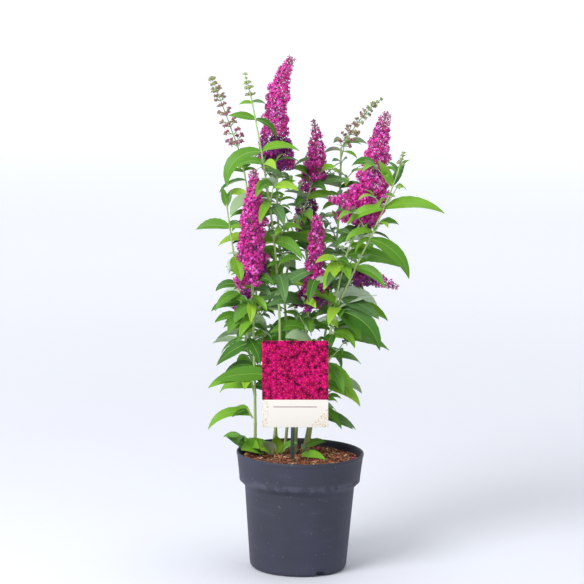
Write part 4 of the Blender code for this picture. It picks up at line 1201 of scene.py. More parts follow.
@dataclass
class Foliage:
    """One mass of leaves: the shoot's pairs, the twigs in their axils, and the leaves on those."""

    shoot: Shoot
    path: Path
    thicket: Thicket
    axil_share: float = 0.70
    twig_length: float = 0.022
    twig_top: float = 0.69
    twig_left: float = -0.106
    small_leaf: float = 0.034
    fill_step: float = 0.013
    fill_reach: float = 0.0034
    back_share: float = 0.05
    fill_low: Triple = (-0.112, -0.20, 0.325)
    fill_high: Triple = (0.125, 0.25, 0.655)
    bunch: Bunch = field(default_factory=Bunch)
    stalks: Bunch = field(default_factory=Bunch)
    count: int = 0

    def seeded(self, use: str) -> Random:
        """The mass's random numbers for one use."""
        return Random(self.shoot.mass + use)

    def add(self, leaf: Leaf, rng: Random, reach: float = 0.0042) -> None:
        """Adds a leaf where there is room.

        Args:
            leaf: The leaf.
            rng: The seeded numbers for its looks.
            reach: How far it keeps from what stands already. Under 2 mm, it may pass the crown's outline.
        """
        points = leaf.samples()
        shaped = reach < 0.002 or all(in_crown(point) for point in points)
        if shaped and self.thicket.free(points, leaf.root, reach):
            self.stand(leaf, points, rng)

    def stand(
        self, leaf: Leaf, points: list[Vector], rng: Random, tone: LeafTone | None = None
    ) -> None:
        """Adds a leaf in any case.

        Args:
            leaf: The leaf.
            points: Points over its blade.
            rng: The seeded numbers for its looks.
            tone: Its upper finish, where that isn't left to chance.
        """
        self.thicket.take(points)
        leaf.shape(self.bunch, rng, tone)
        self.count += 1

    def grow_sprigs(self) -> None:
        """Adds the single leaves that stand between the pairs."""
        looks = self.seeded("_sprigs")
        for sprig in SPRIGS.get(self.shoot.mass, ()):
            root = self.path.point(sprig.at) + Vector(sprig.beside)
            twist = turned_out(sprig.bearing, sprig.rise - sprig.droop / 2, root.y) + 180.0 * sprig.over
            leaf = Leaf(root, sprig.bearing, sprig.rise, sprig.droop, sprig.length, twist, share=sprig.share)
            self.stand(leaf, leaf.samples(), looks, sprig.tone)

    def grow_pairs(self) -> None:
        """Adds the leaves that stand on the shoot itself."""
        rng = self.seeded("")
        looks = self.seeded("_looks")
        for pair in self.shoot.pairs:
            for leaf in leaves_of(pair, self.path, rng, WIDTHS.get(self.shoot.mass, 1.10)):
                self.add(leaf, looks, 0.0015)

    def grow_fill(self) -> None:
        """Adds further pairs along the shoot, where it runs through the thick of the crown.

        The first step is a fixed length of the shoot. After a pair, the way to the next is a share of the
        shoot that is greater for a shorter leaf.
        """
        rng = self.seeded("_fill")
        step = self.fill_step / self.path.length()
        t = max(self.shoot.bare - 0.22, 0.04)
        turn = rng.uniform(0.0, 360.0)
        while t < 0.96:
            spot = self.path.point(t)
            if all(low < c < high for low, c, high in zip(self.fill_low, spot, self.fill_high)):
                for side in (0.0, 180.0):
                    bearing = turn + side + rng.uniform(-25.0, 25.0)
                    rise = rng.uniform(-35.0, 55.0)
                    droop = rng.uniform(20.0, 105.0)
                    twist = rng.uniform(-30.0, 30.0) + turned_out(bearing, rise - droop / 2, spot.y, 0.4)
                    twist += 180.0 * (rng.random() < self.back_share)
                    length = rng.uniform(0.042, 0.080)
                    root = spot - heading_of(bearing, 0.0) * ROOT_DEPTH
                    curl = rng.uniform(-28.0, 28.0)
                    leaf = Leaf(root, bearing, rise, droop, length, twist, curl, rng.uniform(0.24, 0.44))
                    self.add(leaf, rng, self.fill_reach)
                    step = self.fill_step / length
            turn += 90.0 + rng.uniform(-20.0, 20.0)
            t += step

    def grow_twigs(self) -> None:
        """Adds a twig with its own small pairs in most axils."""
        rng = self.seeded("_twigs")
        looks = self.seeded("_small")
        for pair, turn in ((pair, turn) for pair in self.shoot.pairs for turn in (0.0, 180.0)):
            chance, bend, size, slope, phase = [rng.random() for _ in range(5)]
            root = self.path.point(pair.at + 0.012)
            past = pair.at > 0.975 or root.z > self.twig_top or root.x < self.twig_left
            if past or chance > self.axil_share:
                continue
            bearing = pair.bearing + turn + 50.0 * (bend - 0.5)
            heading = heading_of(bearing, 35.0 + 30.0 * slope)
            tip = root + heading * (self.twig_length + 0.026 * size)
            middle = (root + tip) / 2 + Vector((0.0, 0.0, -0.0015))
            points = [root.lerp(middle, 0.5), middle, middle.lerp(tip, 0.5), tip]
            if self.thicket.free(points, root, 0.003):
                self.thicket.take(points)
                self.stalks.add(*tube([root, middle, tip], [TWIG_RADIUS, TWIG_RADIUS, TWIG_RADIUS * 0.6], 5))
                self.dress_twig((root, tip, heading), bearing, size, phase, looks)

    def dress_twig(
        self, twig: tuple[Vector, ...], bearing: float, size: float, phase: float, looks: Random
    ) -> None:
        """Adds a side twig's leaves: two at its tip, as in the solid, then finer ones below them.

        Args:
            twig: The twig's root, tip and direction.
            bearing: Its bearing in degrees.
            size: Its size from 0 to 1.
            phase: The turn of its leaves from 0 to 1.
            looks: The seeded numbers for the finer leaves.
        """
        root, tip, heading = twig
        for side, back in ((-1.0, 0.0012), (0.9, 0.0034)):
            turned = bearing + side * 52.0 + 30.0 * (phase - 0.5)
            blade = self.small_leaf * (1.0 + 0.6 * size)
            twist = 20.0 * side + turned_out(turned, -5.0, tip.y, 0.35)
            self.add(Leaf(tip - heading * back, turned, 30.0, 70.0, blade, twist, share=0.31), looks)
        for k, side in ((0, -1.0), (0, 1.0), (1, -1.0), (1, 1.0)):
            place = root.lerp(tip, 0.45 + 0.4 * k)
            turned = bearing + side * (95.0 - 35.0 * k) + looks.uniform(-15.0, 15.0)
            blade = self.small_leaf * looks.uniform(0.65, 1.1)
            rise = looks.uniform(15.0, 45.0)
            twist = 12.0 * side + turned_out(turned, -5.0, tip.y, 0.35)
            self.add(Leaf(place, turned, rise, looks.uniform(50.0, 85.0), blade, twist, share=0.32), looks)
        self.add(Leaf(tip, bearing, 55.0, 50.0, self.small_leaf * 0.6, share=0.30), looks)

    def build(self, leaf_finishes: list[Material], stem_finish: Material) -> None:
        """Makes the mass's pieces.

        Args:
            leaf_finishes: The materials of its leaves.
            stem_finish: The material of its twigs.
        """
        kind = self.shoot.mass.removeprefix("leaves_")
        settle(self.bunch.build("foliage_" + kind, leaf_finishes), "leaf", self.shoot.mass)
        if self.stalks.count:
            settle(self.stalks.build("twigs_" + kind, [stem_finish]), "stem")
        LOG.info("%s: %d leaves", self.shoot.mass, self.count)


# --- flowers


class FlowerTone(Palette):
    """The finishes of a flower head."""

    ROSE = PlainFinish("petal_rose", (248, 108, 222), 0.60, 0.15)
    MAGENTA = PlainFinish("petal_magenta", (230, 46, 174), 0.60, 0.15)
    CRIMSON = PlainFinish("petal_crimson", (192, 18, 132), 0.62, 0.12)
    VIOLET = PlainFinish("petal_violet", (150, 34, 148), 0.62, 0.12)
    DUSK = PlainFinish("petal_dusk", (100, 24, 98), 0.65, 0.10)
    EYE = PlainFinish("floret_eye", (230, 110, 70), 0.50)
    BUD = PlainFinish("flower_bud", (160, 60, 118), 0.65, 0.10)
    STALK = PlainFinish("flower_stalk", (118, 112, 90), 0.65)


def floret_template() -> tuple[np.ndarray, list, list]:
    """A four-lobed floret on its tube, facing +Z, about 6 mm across.

    Returns:
        The corners in metres, the faces, and for each face whether it's a lobe, the tube or the eye.
    """
    corners = []
    faces = []
    outline = (
        (-0.62, 0.55, 0), (0.62, 0.55, 0), (1.12, 1.85, 0.22), (0, 1.95, -0.05), (-1.12, 1.85, 0.22),
        (0, 2.95, -0.35),
    )
    for lobe in range(4):
        turn = Matrix.Rotation(pi / 2 * lobe, 3, "Z")
        start = len(corners)
        corners += [tuple(turn @ Vector(spot)) for spot in outline]
        for face in ((0, 1, 3), (1, 2, 3), (0, 3, 4), (3, 2, 5), (4, 3, 5)):
            faces.append(tuple(start + i for i in face))
    kinds = ["lobe"] * 20 + ["tube"] * 8 + ["eye"]
    faces += ring_faces(3, 4, len(corners), inward=True)
    for radius, height in ((0.72, 0.05), (0.55, -3.0), (0.42, -6.0)):
        corners += circle(radius, height, 4, pi / 4)
    faces.append(tuple(range(len(corners), len(corners) + 4)))
    corners += circle(0.60, 0.12, 4)
    return np.array(corners) * 0.001, faces, kinds


def bud_template(sides: int = 5) -> Mesh:
    """A club-shaped bud along +Z, 1 unit long.

    Args:
        sides: How many sides it has.

    Returns:
        Its corners and faces.
    """
    corners = circle(0.10, 0.0, sides) + circle(0.16, 0.45, sides) + circle(0.20, 0.80, sides)
    corners.append((0.0, 0.0, 1.0))
    faces = ring_faces(3, sides)
    faces += [(2 * sides + k, 2 * sides + (k + 1) % sides, 3 * sides) for k in range(sides)]
    return np.array(corners), faces


@dataclass(frozen=True)
class Bloom:
    """How far a flower head has opened, and its outline. Shares are of its length.

    faded is the old part at its foot, budding the unopened part at its tip, purple the share of its florets
    that are turning, and gap a bare stretch above the old part. form is 1 for a straight cone and less for a
    fuller one, and full is how wide it is beside its solid. old_sides is whether its side branches are over.
    """

    faded: float = 0.12
    budding: float = 0.10
    purple: float = 0.15
    gap: float = 0.0
    form: float = 0.62
    full: float = 1.0
    old_sides: bool = False

    def width(self, left: float) -> float:
        """The head's width, as a share of its greatest, where left is the share of it still above."""
        taper = 0.20 + 0.80 * max(left, 0.0) ** self.form
        return self.full * taper * (1.0 - 0.12 * max(left - 0.85, 0.0) / 0.15)


BLOOMS = {
    "bloom_tall": Bloom(0.30, 0.06, 0.08, 0.17, 0.72),
    "bloom_left": Bloom(0.10, 0.07, 0.10, 0.0, 0.70),
    "bloom_upper": Bloom(0.06, 0.16, 0.06, 0.0, 0.85, 1.12),
    "bloom_bough_centre": Bloom(0.04, 0.26, 0.16, 0.0, 0.80),
    "bloom_centre": Bloom(0.08, 0.05, 0.10, 0.0, 0.40, 1.05, True),
    "bloom_low_right": Bloom(0.50, 0.10, 0.25),
    "bloom_back": Bloom(0.40, 0.12, 0.50),
    "bloom_back_left": Bloom(0.40, 0.12, 0.50),
    "bloom_back_right": Bloom(0.35, 0.12, 0.45),
    "bloom_back_left_low": Bloom(0.20, 0.08, 0.60),
}

# Side branches that only the finished heads have.
LATERALS = {
    "bloom_left": each(Side, (0.02, 226, 40, -34), (0.02, 296, 30, -36)),
    "bloom_upper": each(Side, (0.02, 168, 54, -8), (0.06, 215, 46, -4), (0.16, 186, 40, 14)),
    "bloom_centre": each(
        Side,
        (0.02, 255, 34, -42), (0.02, 305, 32, -24), (0.02, 170, 36, -30), (0.03, 20, 38, -18),
        (0.10, 335, 34, 20),
    ),
}


@dataclass
class FlowerHead:
    """A tapering head of blossom: whorls of small clusters round a stalk, each a half ball of florets."""

    panicle: Panicle
    path: Path
    bloom: Bloom
    floret_area: float = 21e-6
    spacing: float = 0.0118
    closest: float = 0.0042
    bud_length: float = 0.0044
    bud_sunk: float = 0.0028
    girth: float = 0.56
    smallest: float = 0.0024
    largest: float = 0.0098
    foot: float = 0.06
    old: bool = False
    bunch: Bunch = field(default_factory=Bunch)
    count: int = 0

    def __post_init__(self) -> None:
        """Draws the templates and seeds the rule."""
        self.rng = Random(self.panicle.name + "_florets")
        self.floret = floret_template()
        self.bud = bud_template()

    def tone(self, s: float, fresh: float) -> FlowerTone:
        """A floret's colour, older and darker towards the foot.

        Args:
            s: Its share of the head's length.
            fresh: A number from 0 to 1 that its cluster shares.

        Returns:
            The finish.
        """
        roll = self.rng.random()
        if s < self.bloom.faded or self.old:
            spent = FlowerTone.VIOLET if roll < 0.80 else FlowerTone.CRIMSON
            return FlowerTone.DUSK if roll < 0.34 else spent
        if roll < self.bloom.purple:
            return FlowerTone.VIOLET if roll < self.bloom.purple * 0.7 else FlowerTone.DUSK
        roll = self.rng.random() * 0.7 + fresh * 0.3
        return FlowerTone.CRIMSON if roll < 0.30 else FlowerTone.MAGENTA if roll < 0.68 else FlowerTone.ROSE

    def add_floret(self, spot: Vector, outward: Vector, s: float, fresh: float, size: float) -> None:
        """Adds one floret or, near the tip, a bud.

        Args:
            spot: Where it sits.
            outward: About which way it faces.
            s: Its share of the head's length.
            fresh: A number from 0 to 1 that its cluster shares.
            size: Its scale.
        """
        rng = self.rng
        facing = (outward + Vector([rng.uniform(-0.4, 0.4) for _ in range(3)])).normalized()
        if s > 1.0 - self.bloom.budding * rng.uniform(0.4, 1.3) or rng.random() < 0.07:
            corners, faces = self.bud
            turned = placed(corners, facing, 0.0, self.bud_length * size, spot - facing * self.bud_sunk)
            tone = FlowerTone.BUD if rng.random() < 0.55 else FlowerTone.CRIMSON
            self.bunch.add(turned, faces, tone.number)
            return
        corners, faces, kinds = self.floret
        tone = self.tone(s, fresh).number
        dusk = FlowerTone.DUSK.number
        eye = FlowerTone.EYE.number if tone <= FlowerTone.CRIMSON.number else dusk
        # The tube takes the finish one darker than its lobes: painted shade for the recess under them.
        shades = {"lobe": tone, "tube": min(tone + 1, dusk), "eye": eye}
        turned = placed(corners, facing, rng.uniform(0.0, 1.6), size * rng.uniform(0.82, 1.12), spot)
        self.bunch.add(turned, faces, [shades[kind] for kind in kinds])
        self.count += 1

    def clusters(self, path: Path, width: float, start: float) -> list[tuple[Vector, Vector, float, float]]:
        """The clusters of one stalk, three to each side of a node.

        Args:
            path: The stalk.
            width: The head's greatest width.
            start: The share of the stalk that is bare.

        Returns:
            The centre, way out, radius and share of the stalk of each.
        """
        found = []
        rng = self.rng
        s = start + 0.015
        turn = rng.uniform(0.0, 3.0)
        length = path.length()
        while s < 0.99:
            left = (1.0 - s) / (1.0 - start)
            reach = self.girth * width * self.bloom.width(left)
            in_gap = self.bloom.gap and abs(s - self.bloom.faded) < self.bloom.gap * 0.22
            if in_gap and width == self.panicle.width:
                reach *= 0.45
            swell = rng.uniform(0.90, 1.10)
            laterals = (-0.78, 0.0, 0.78) if reach > 0.006 else (0.0, 1.5)
            for side, lateral in ((side, lateral) for side in (0.0, pi) for lateral in laterals):
                angle = turn + side + lateral + rng.uniform(-0.15, 0.15)
                outward = Vector(beside(path.direction(s), angle, rng.uniform(-0.05, 0.45))).normalized()
                radius = min(reach * rng.uniform(0.34, 0.50) * (0.88 if lateral else 1.0), self.largest)
                extent = reach * swell * rng.uniform(0.80, 1.14) * (0.94 if lateral else 1.04)
                centre = path.point(s) + outward * max(extent - radius, 0.0)
                found.append((centre, outward, max(radius, self.smallest), s))
            turn += 1.57 + rng.uniform(-0.2, 0.2)
            s += (self.closest + (self.spacing - self.closest) * left**0.6) / length
        return found

    def grow(self, path: Path, width: float, start: float) -> None:
        """Adds the stalk and florets of one head or side branch.

        Args:
            path: The stalk.
            width: The greatest width.
            start: The share of the stalk that is bare.
        """
        stalk = FlowerTone.STALK.number
        self.bunch.add(*tube(path.line(10), [path.radius(k / 10) for k in range(11)], 5), stalk)
        clusters = self.clusters(path, width, start)
        for index, (centre, outward, radius, s) in enumerate(clusters):
            fresh = self.rng.random()
            self.bunch.add(*tube([path.point(max(s - 0.02, 0.0)), centre], [0.0007, 0.0005], 3), stalk)
            count = max(3, round(2.6 * pi * radius * radius / self.floret_area))
            others = clusters[:index] + clusters[index + 1:]
            near = [other for other in others if (other[0] - centre).length < other[2] + radius]
            size = min(1.0, 0.66 + radius * 45.0)
            for k in range(count):
                height = 1.0 - 1.45 * (k + 0.5) / count
                ring = sqrt(max(1.0 - height * height, 0.0))
                angle = GOLDEN_ANGLE * k + self.rng.uniform(-0.25, 0.25)
                local = np.array([ring * cos(angle), ring * sin(angle), height])
                direction = Vector(frame_on(outward) @ local)
                spot = centre + direction * radius * self.rng.uniform(0.90, 1.08)
                if not any((spot - other[0]).length < other[2] * 0.86 for other in near):
                    self.add_floret(spot, direction, s, fresh, size)

    def build(self, finishes: list[Material]) -> None:
        """Makes the head's piece.

        Args:
            finishes: Its materials.
        """
        self.grow(self.path, self.panicle.width, self.foot)
        self.old = self.bloom.old_sides
        for side in self.panicle.sides + LATERALS.get(self.panicle.name, ()):
            root = self.path.point(side.at + self.foot)
            heading = heading_of(side.bearing, side.rise)
            branch = Path([root + heading * side.length * k / 3 for k in range(4)], (0.0012, 0.0008))
            self.grow(branch, min(self.panicle.width * 0.58, 0.032), 0.20)
        kind = self.panicle.name.removeprefix("bloom_")
        settle(self.bunch.build("florets_" + kind, finishes, smooth=False), "blossom", self.panicle.name)
        LOG.info("%s: %d florets", self.panicle.name, self.count)


class BudTone(Palette):
    """The finishes of a bud spike."""

    STALK = PlainFinish("spike_stalk", (158, 180, 126), 0.60)
    GREEN = PlainFinish("bud_green", (166, 190, 128), 0.65)
    OLIVE = PlainFinish("bud_olive", (172, 164, 122), 0.65)
    MAROON = PlainFinish("bud_maroon", (172, 106, 126), 0.65)
    PLUM = PlainFinish("bud_plum", (140, 78, 108), 0.65)


def surround(path: Path, width: float, bloom: Bloom) -> list[Vector]:
    """Points inside a flower head, so that leaves keep out of its middle.

    Args:
        path: The head's stalk.
        width: Its greatest width.
        bloom: Its outline.

    Returns:
        The points.
    """
    count = 40
    fifth = 1.2566
    points = []
    for k in range(count + 1):
        centre = path.point(k / count)
        reach = 0.3 * width * bloom.width(1.0 - k / count)
        ways = [beside(path.direction(k / count), fifth * turn + k, 0.0) for turn in range(5)]
        points += [centre] + [centre + Vector(way * reach) for way in ways]
    return points


# How far the buds of a spike lean to maroon.
MAROON_BUDS = {"bough_left_spike": 1.0, "stem_back_right": 0.45, "stem_tall": -0.4, "bough_right": -0.3}


@dataclass
class BudSpike:
    """A bare spike past a shoot's tip, with two knots of buds at each node."""

    shoot: Shoot
    path: Path
    maroon: float = 0.5
    spacing: float = 0.0088
    steps: int = 24
    lean: float = 0.35
    narrowest: float = 0.0042
    fork_from: float = 0.0065
    longest_fork: float = 0.0062
    bunch: Bunch = field(default_factory=Bunch)

    def line(self) -> list[Vector]:
        """Points along the spike, bent a little as it leaves the shoot."""
        start = self.path.point(0.995)
        end = Vector(self.shoot.buds.tip)
        lean = self.path.direction(1.0) * (end - start).length * self.lean
        shares = [k / self.steps for k in range(self.steps + 1)]
        return [start.lerp(end, s) + lean * (s * (1.0 - s)) for s in shares]

    def build(self, finishes: list[Material]) -> None:
        """Makes the spike's piece.

        Args:
            finishes: Its materials.
        """
        rng = Random(self.shoot.name + "_buds")
        line = self.line()
        last = self.steps
        radii = [STALK_RADIUS * (1.15 - 0.75 * k / last) for k in range(last + 1)]
        self.bunch.add(*tube(line, radii, 6), BudTone.STALK.number)
        count = max(4, round(length_of(line) / self.spacing))
        for k in range(count):
            s = (k + 0.5) / count
            here = round(s * last)
            along = (line[min(here + 1, last)] - line[max(here - 1, 0)]).normalized()
            half = max(0.5 * self.shoot.buds.width * (1.45 - 1.10 * s), self.narrowest)
            half *= rng.uniform(0.85, 1.2)
            for side in range(2 if s < 0.8 else 3):
                turn = BUD_TURN * k + side * (pi if s < 0.8 else 2.1) + rng.uniform(-0.2, 0.2)
                self.knot(line[here], Vector(beside(along, turn, 0.45)).normalized(), along, half, s, rng)
        settle(self.bunch.build("buds_" + self.shoot.name, finishes), "blossom")

    def knot(
        self, spot: Vector, outward: Vector, along: Vector, half: float, s: float, rng: Random
    ) -> None:
        """Adds one knot: a stalk that forks where there is room, fans of small buds, and a bract under it.

        Args:
            spot: Where it grows from.
            outward: Which way it stands.
            along: The spike's direction.
            half: How far it reaches from the spike.
            s: Its share of the spike's length.
            rng: The spike's seeded numbers.
        """
        corners, faces = bud_template()
        crown = spot + outward * max(half - 0.0050, 0.0006)
        crowns = [crown]
        if half > self.fork_from:
            for side in (-1.0, 1.0):
                fork = along.cross(outward) * side + outward * 0.5 + along * rng.uniform(0.0, 0.5)
                reach = min(half * 0.42, self.longest_fork)
                crowns.append(spot.lerp(crown, 0.55) + fork.normalized() * reach)
        self.bunch.add(*tube([spot, crown], [0.0008, 0.0006], 4), BudTone.STALK.number)
        for place in crowns[1:]:
            self.bunch.add(*tube([spot.lerp(crown, 0.4), place], [0.0006, 0.0005], 3), BudTone.STALK.number)
        for place in (crown for crown in crowns for _ in range(round(6 + half * 380))):
            spread = Vector([rng.uniform(-1.0, 1.0) for _ in range(3)])
            facing = (outward + spread + along * 0.35).normalized()
            size = rng.uniform(0.0040, 0.0062) * (1.0 - 0.30 * s)
            roll = rng.random() * 0.7 + s * 0.55 - self.maroon * 0.35
            tone = BudTone.GREEN if roll > 0.55 else BudTone.OLIVE if roll > 0.34 else BudTone.PLUM
            if roll < 0.20:
                tone = BudTone.MAROON
            self.bunch.add(placed(corners, facing, 0.0, size, place), faces, tone.number)
        bearing = degrees(atan2(outward.y, outward.x))
        bract = [place for place, _, _ in Leaf(spot, bearing, 25.0, 20.0, 0.005 + half * 0.6).stations(3)]
        self.bunch.add(*tube(bract, [0.0006, 0.0007, 0.0004, 0.0001], 3), BudTone.GREEN.number)


# --- stems and boughs


@dataclass(frozen=True)
class BarkFinish:
    """Young green bark: streaks along the stem, paler lines, and a brown tint at the foot."""

    green: Colour = colour(150, 184, 104)
    pale: Colour = colour(188, 208, 144)
    brown: Colour = colour(150, 138, 84)

    def material(self) -> Material:
        """The material."""
        graph = Graph("stem_bark")
        streak = graph.noise(graph.place((420.0, 420.0, 22.0)), 1.0, 3.0)
        patch = graph.noise(graph.place(), 38.0, 3.0)
        foot = 1.0 - graph.axis(graph.place(), "Z").fade(0.19, 0.30)
        base = graph.mix(streak.fade(0.35, 0.72), self.green, self.pale)
        base = graph.mix((foot * 0.55 + patch.fade(0.55, 0.75) * 0.25).least(1.0), base, self.brown)
        graph.bump(streak, 0.0004, 0.6)
        return graph.surface(Base_Color=base, Roughness=0.5 + patch * 0.25)


@dataclass
class Limb:
    """A stem or bough: four soft ridges, a swollen node at each leaf pair, and a flared foot."""

    shoot: Shoot
    path: Path
    sides: int = 12
    ridges: int = 4
    step: float = 0.0035
    ridge: float = 0.07
    swelling: float = 0.22
    node_reach: float = 0.0028

    def build(self, finish: Material) -> None:
        """Makes the limb's piece, from its foot to its tip.

        Args:
            finish: The bark.
        """
        length = self.path.length()
        count = max(8, round(length / self.step))
        nodes = [pair.at for pair in self.shoot.pairs]
        if self.shoot.bare > 0.3:
            nodes += [self.shoot.bare * k / 4 for k in range(1, 4)]
        points = self.path.line(count)
        radii = []
        for k in range(count + 1):
            t = k / count
            swell = sum(exp(-(((t - node) * length / self.node_reach) ** 2)) for node in nodes)
            radii.append(self.path.radius(t) * (1.0 + self.swelling * min(swell, 1.0)))
        points[0].z = max(points[0].z, SOIL_LEVEL - 0.003)
        corners, faces = tube(points, radii, self.sides)
        centres = np.repeat(np.array(points), self.sides, axis=0)
        turns = np.arange(self.sides) * (2.0 * pi * self.ridges / self.sides)
        waves = np.tile(1.0 + self.ridge * np.cos(turns), count + 1)
        corners = centres + (corners - centres) * waves[:, None]
        nodes = () if self.shoot.mass == self.shoot.name else (self.shoot.name,)
        settle(single(self.shoot.name + "_bark", corners, faces, finish), "stem", *nodes)


@dataclass
class Bush:
    """The whole plant: its curves, limbs, masses of leaves, flower heads and bud spikes."""

    twig_share: float = 0.12
    paths: dict[str, Path] = field(default_factory=dict)
    thicket: Thicket = field(default_factory=Thicket)

    def grow_flowers(self) -> None:
        """Makes the flower heads and bud spikes."""
        petals = FlowerTone.materials()
        buds = BudTone.materials()
        for shoot in STEMS + BOUGHS:
            host = self.paths[shoot.name]
            if shoot.panicle:
                path = carried_on([Vector(h) for h in shoot.panicle.path], (0.0014, 0.0008), host)
                bloom = BLOOMS[shoot.panicle.name]
                FlowerHead(shoot.panicle, path, bloom).build(petals)
                self.thicket.take(surround(path, shoot.panicle.width, bloom))
            if shoot.buds:
                BudSpike(shoot, host, MAROON_BUDS.get(shoot.name, 0.5)).build(buds)

    def build(self) -> None:
        """Grows the plant from its named sizes."""
        shoots = STEMS + BOUGHS + TWIGS
        for shoot in shoots:
            self.paths[shoot.name] = sprout(shoot, self.paths)
        bark = BarkFinish().material()
        for shoot in shoots:
            Limb(shoot, self.paths[shoot.name]).build(bark)
            self.thicket.take(self.paths[shoot.name].line(60))
        LOG.info("limbs: %d", len(shoots))
        self.grow_flowers()
        masses = [Foliage(shoot, self.paths[shoot.name], self.thicket) for shoot in shoots if shoot.mass]
        for mass in masses:
            if mass.shoot.mass == mass.shoot.name:
                mass.axil_share = self.twig_share
        for step in (Foliage.grow_sprigs, Foliage.grow_pairs, Foliage.grow_twigs, Foliage.grow_fill):
            for mass in masses:
                step(mass)
        leaves = LeafTone.materials()
        for mass in masses:
            mass.build(leaves, bark)
        LOG.info("leaves: %d", sum(mass.count for mass in masses))


# --- pot, potting mix, label


@dataclass(frozen=True)
class PotFinish:
    """Matt moulded plastic: a blue grey with fine pale specks, soft rubs and a dusty foot."""

    base: Colour = colour(60, 62, 82)
    rubbed: Colour = colour(92, 95, 112)
    deep: Colour = colour(52, 54, 68)
    speck: Colour = colour(156, 158, 168)

    def material(self) -> Material:
        """The material."""
        graph = Graph("pot_plastic")
        where = graph.place()
        cloud = graph.noise(where, 9.0, 3.0)
        rub = graph.noise(graph.place((5.0, 5.0, 22.0)), 4.0, 5.0, 0.6)
        grain = graph.noise(where, 2600.0, 2.0)
        dots = graph.cells(where, 210.0)
        chosen = graph.noise(where, 90.0, 2.0).fade(0.56, 0.62)
        specks = (1.0 - dots.fade(0.10, 0.17)) * chosen
        tall = graph.axis(where, "Z")
        edge = 1.0 - ((tall - 0.151) / 0.010).size().fade(0.2, 1.0)
        foot = 1.0 - tall.fade(0.004, 0.035)
        shade = graph.mix(cloud.fade(0.35, 0.70), self.deep, self.base)
        scuff = edge * graph.noise(where, 60.0, 4.0).fade(0.42, 0.62)
        worn = rub.fade(0.52, 0.80) * 0.18 + scuff * 0.40 + foot * 0.12
        shade = graph.mix(worn.least(0.6), shade, self.rubbed)
        shade = graph.mix(specks * 0.55, shade, self.speck)
        graph.bump(grain * 0.5 + rub * 0.4 + dots.fade(0.1, 0.3) * 0.2, 0.0003, 0.55)
        return graph.surface(Base_Color=shade, Roughness=0.46 + cloud * 0.22, Specular_IOR_Level=0.4)


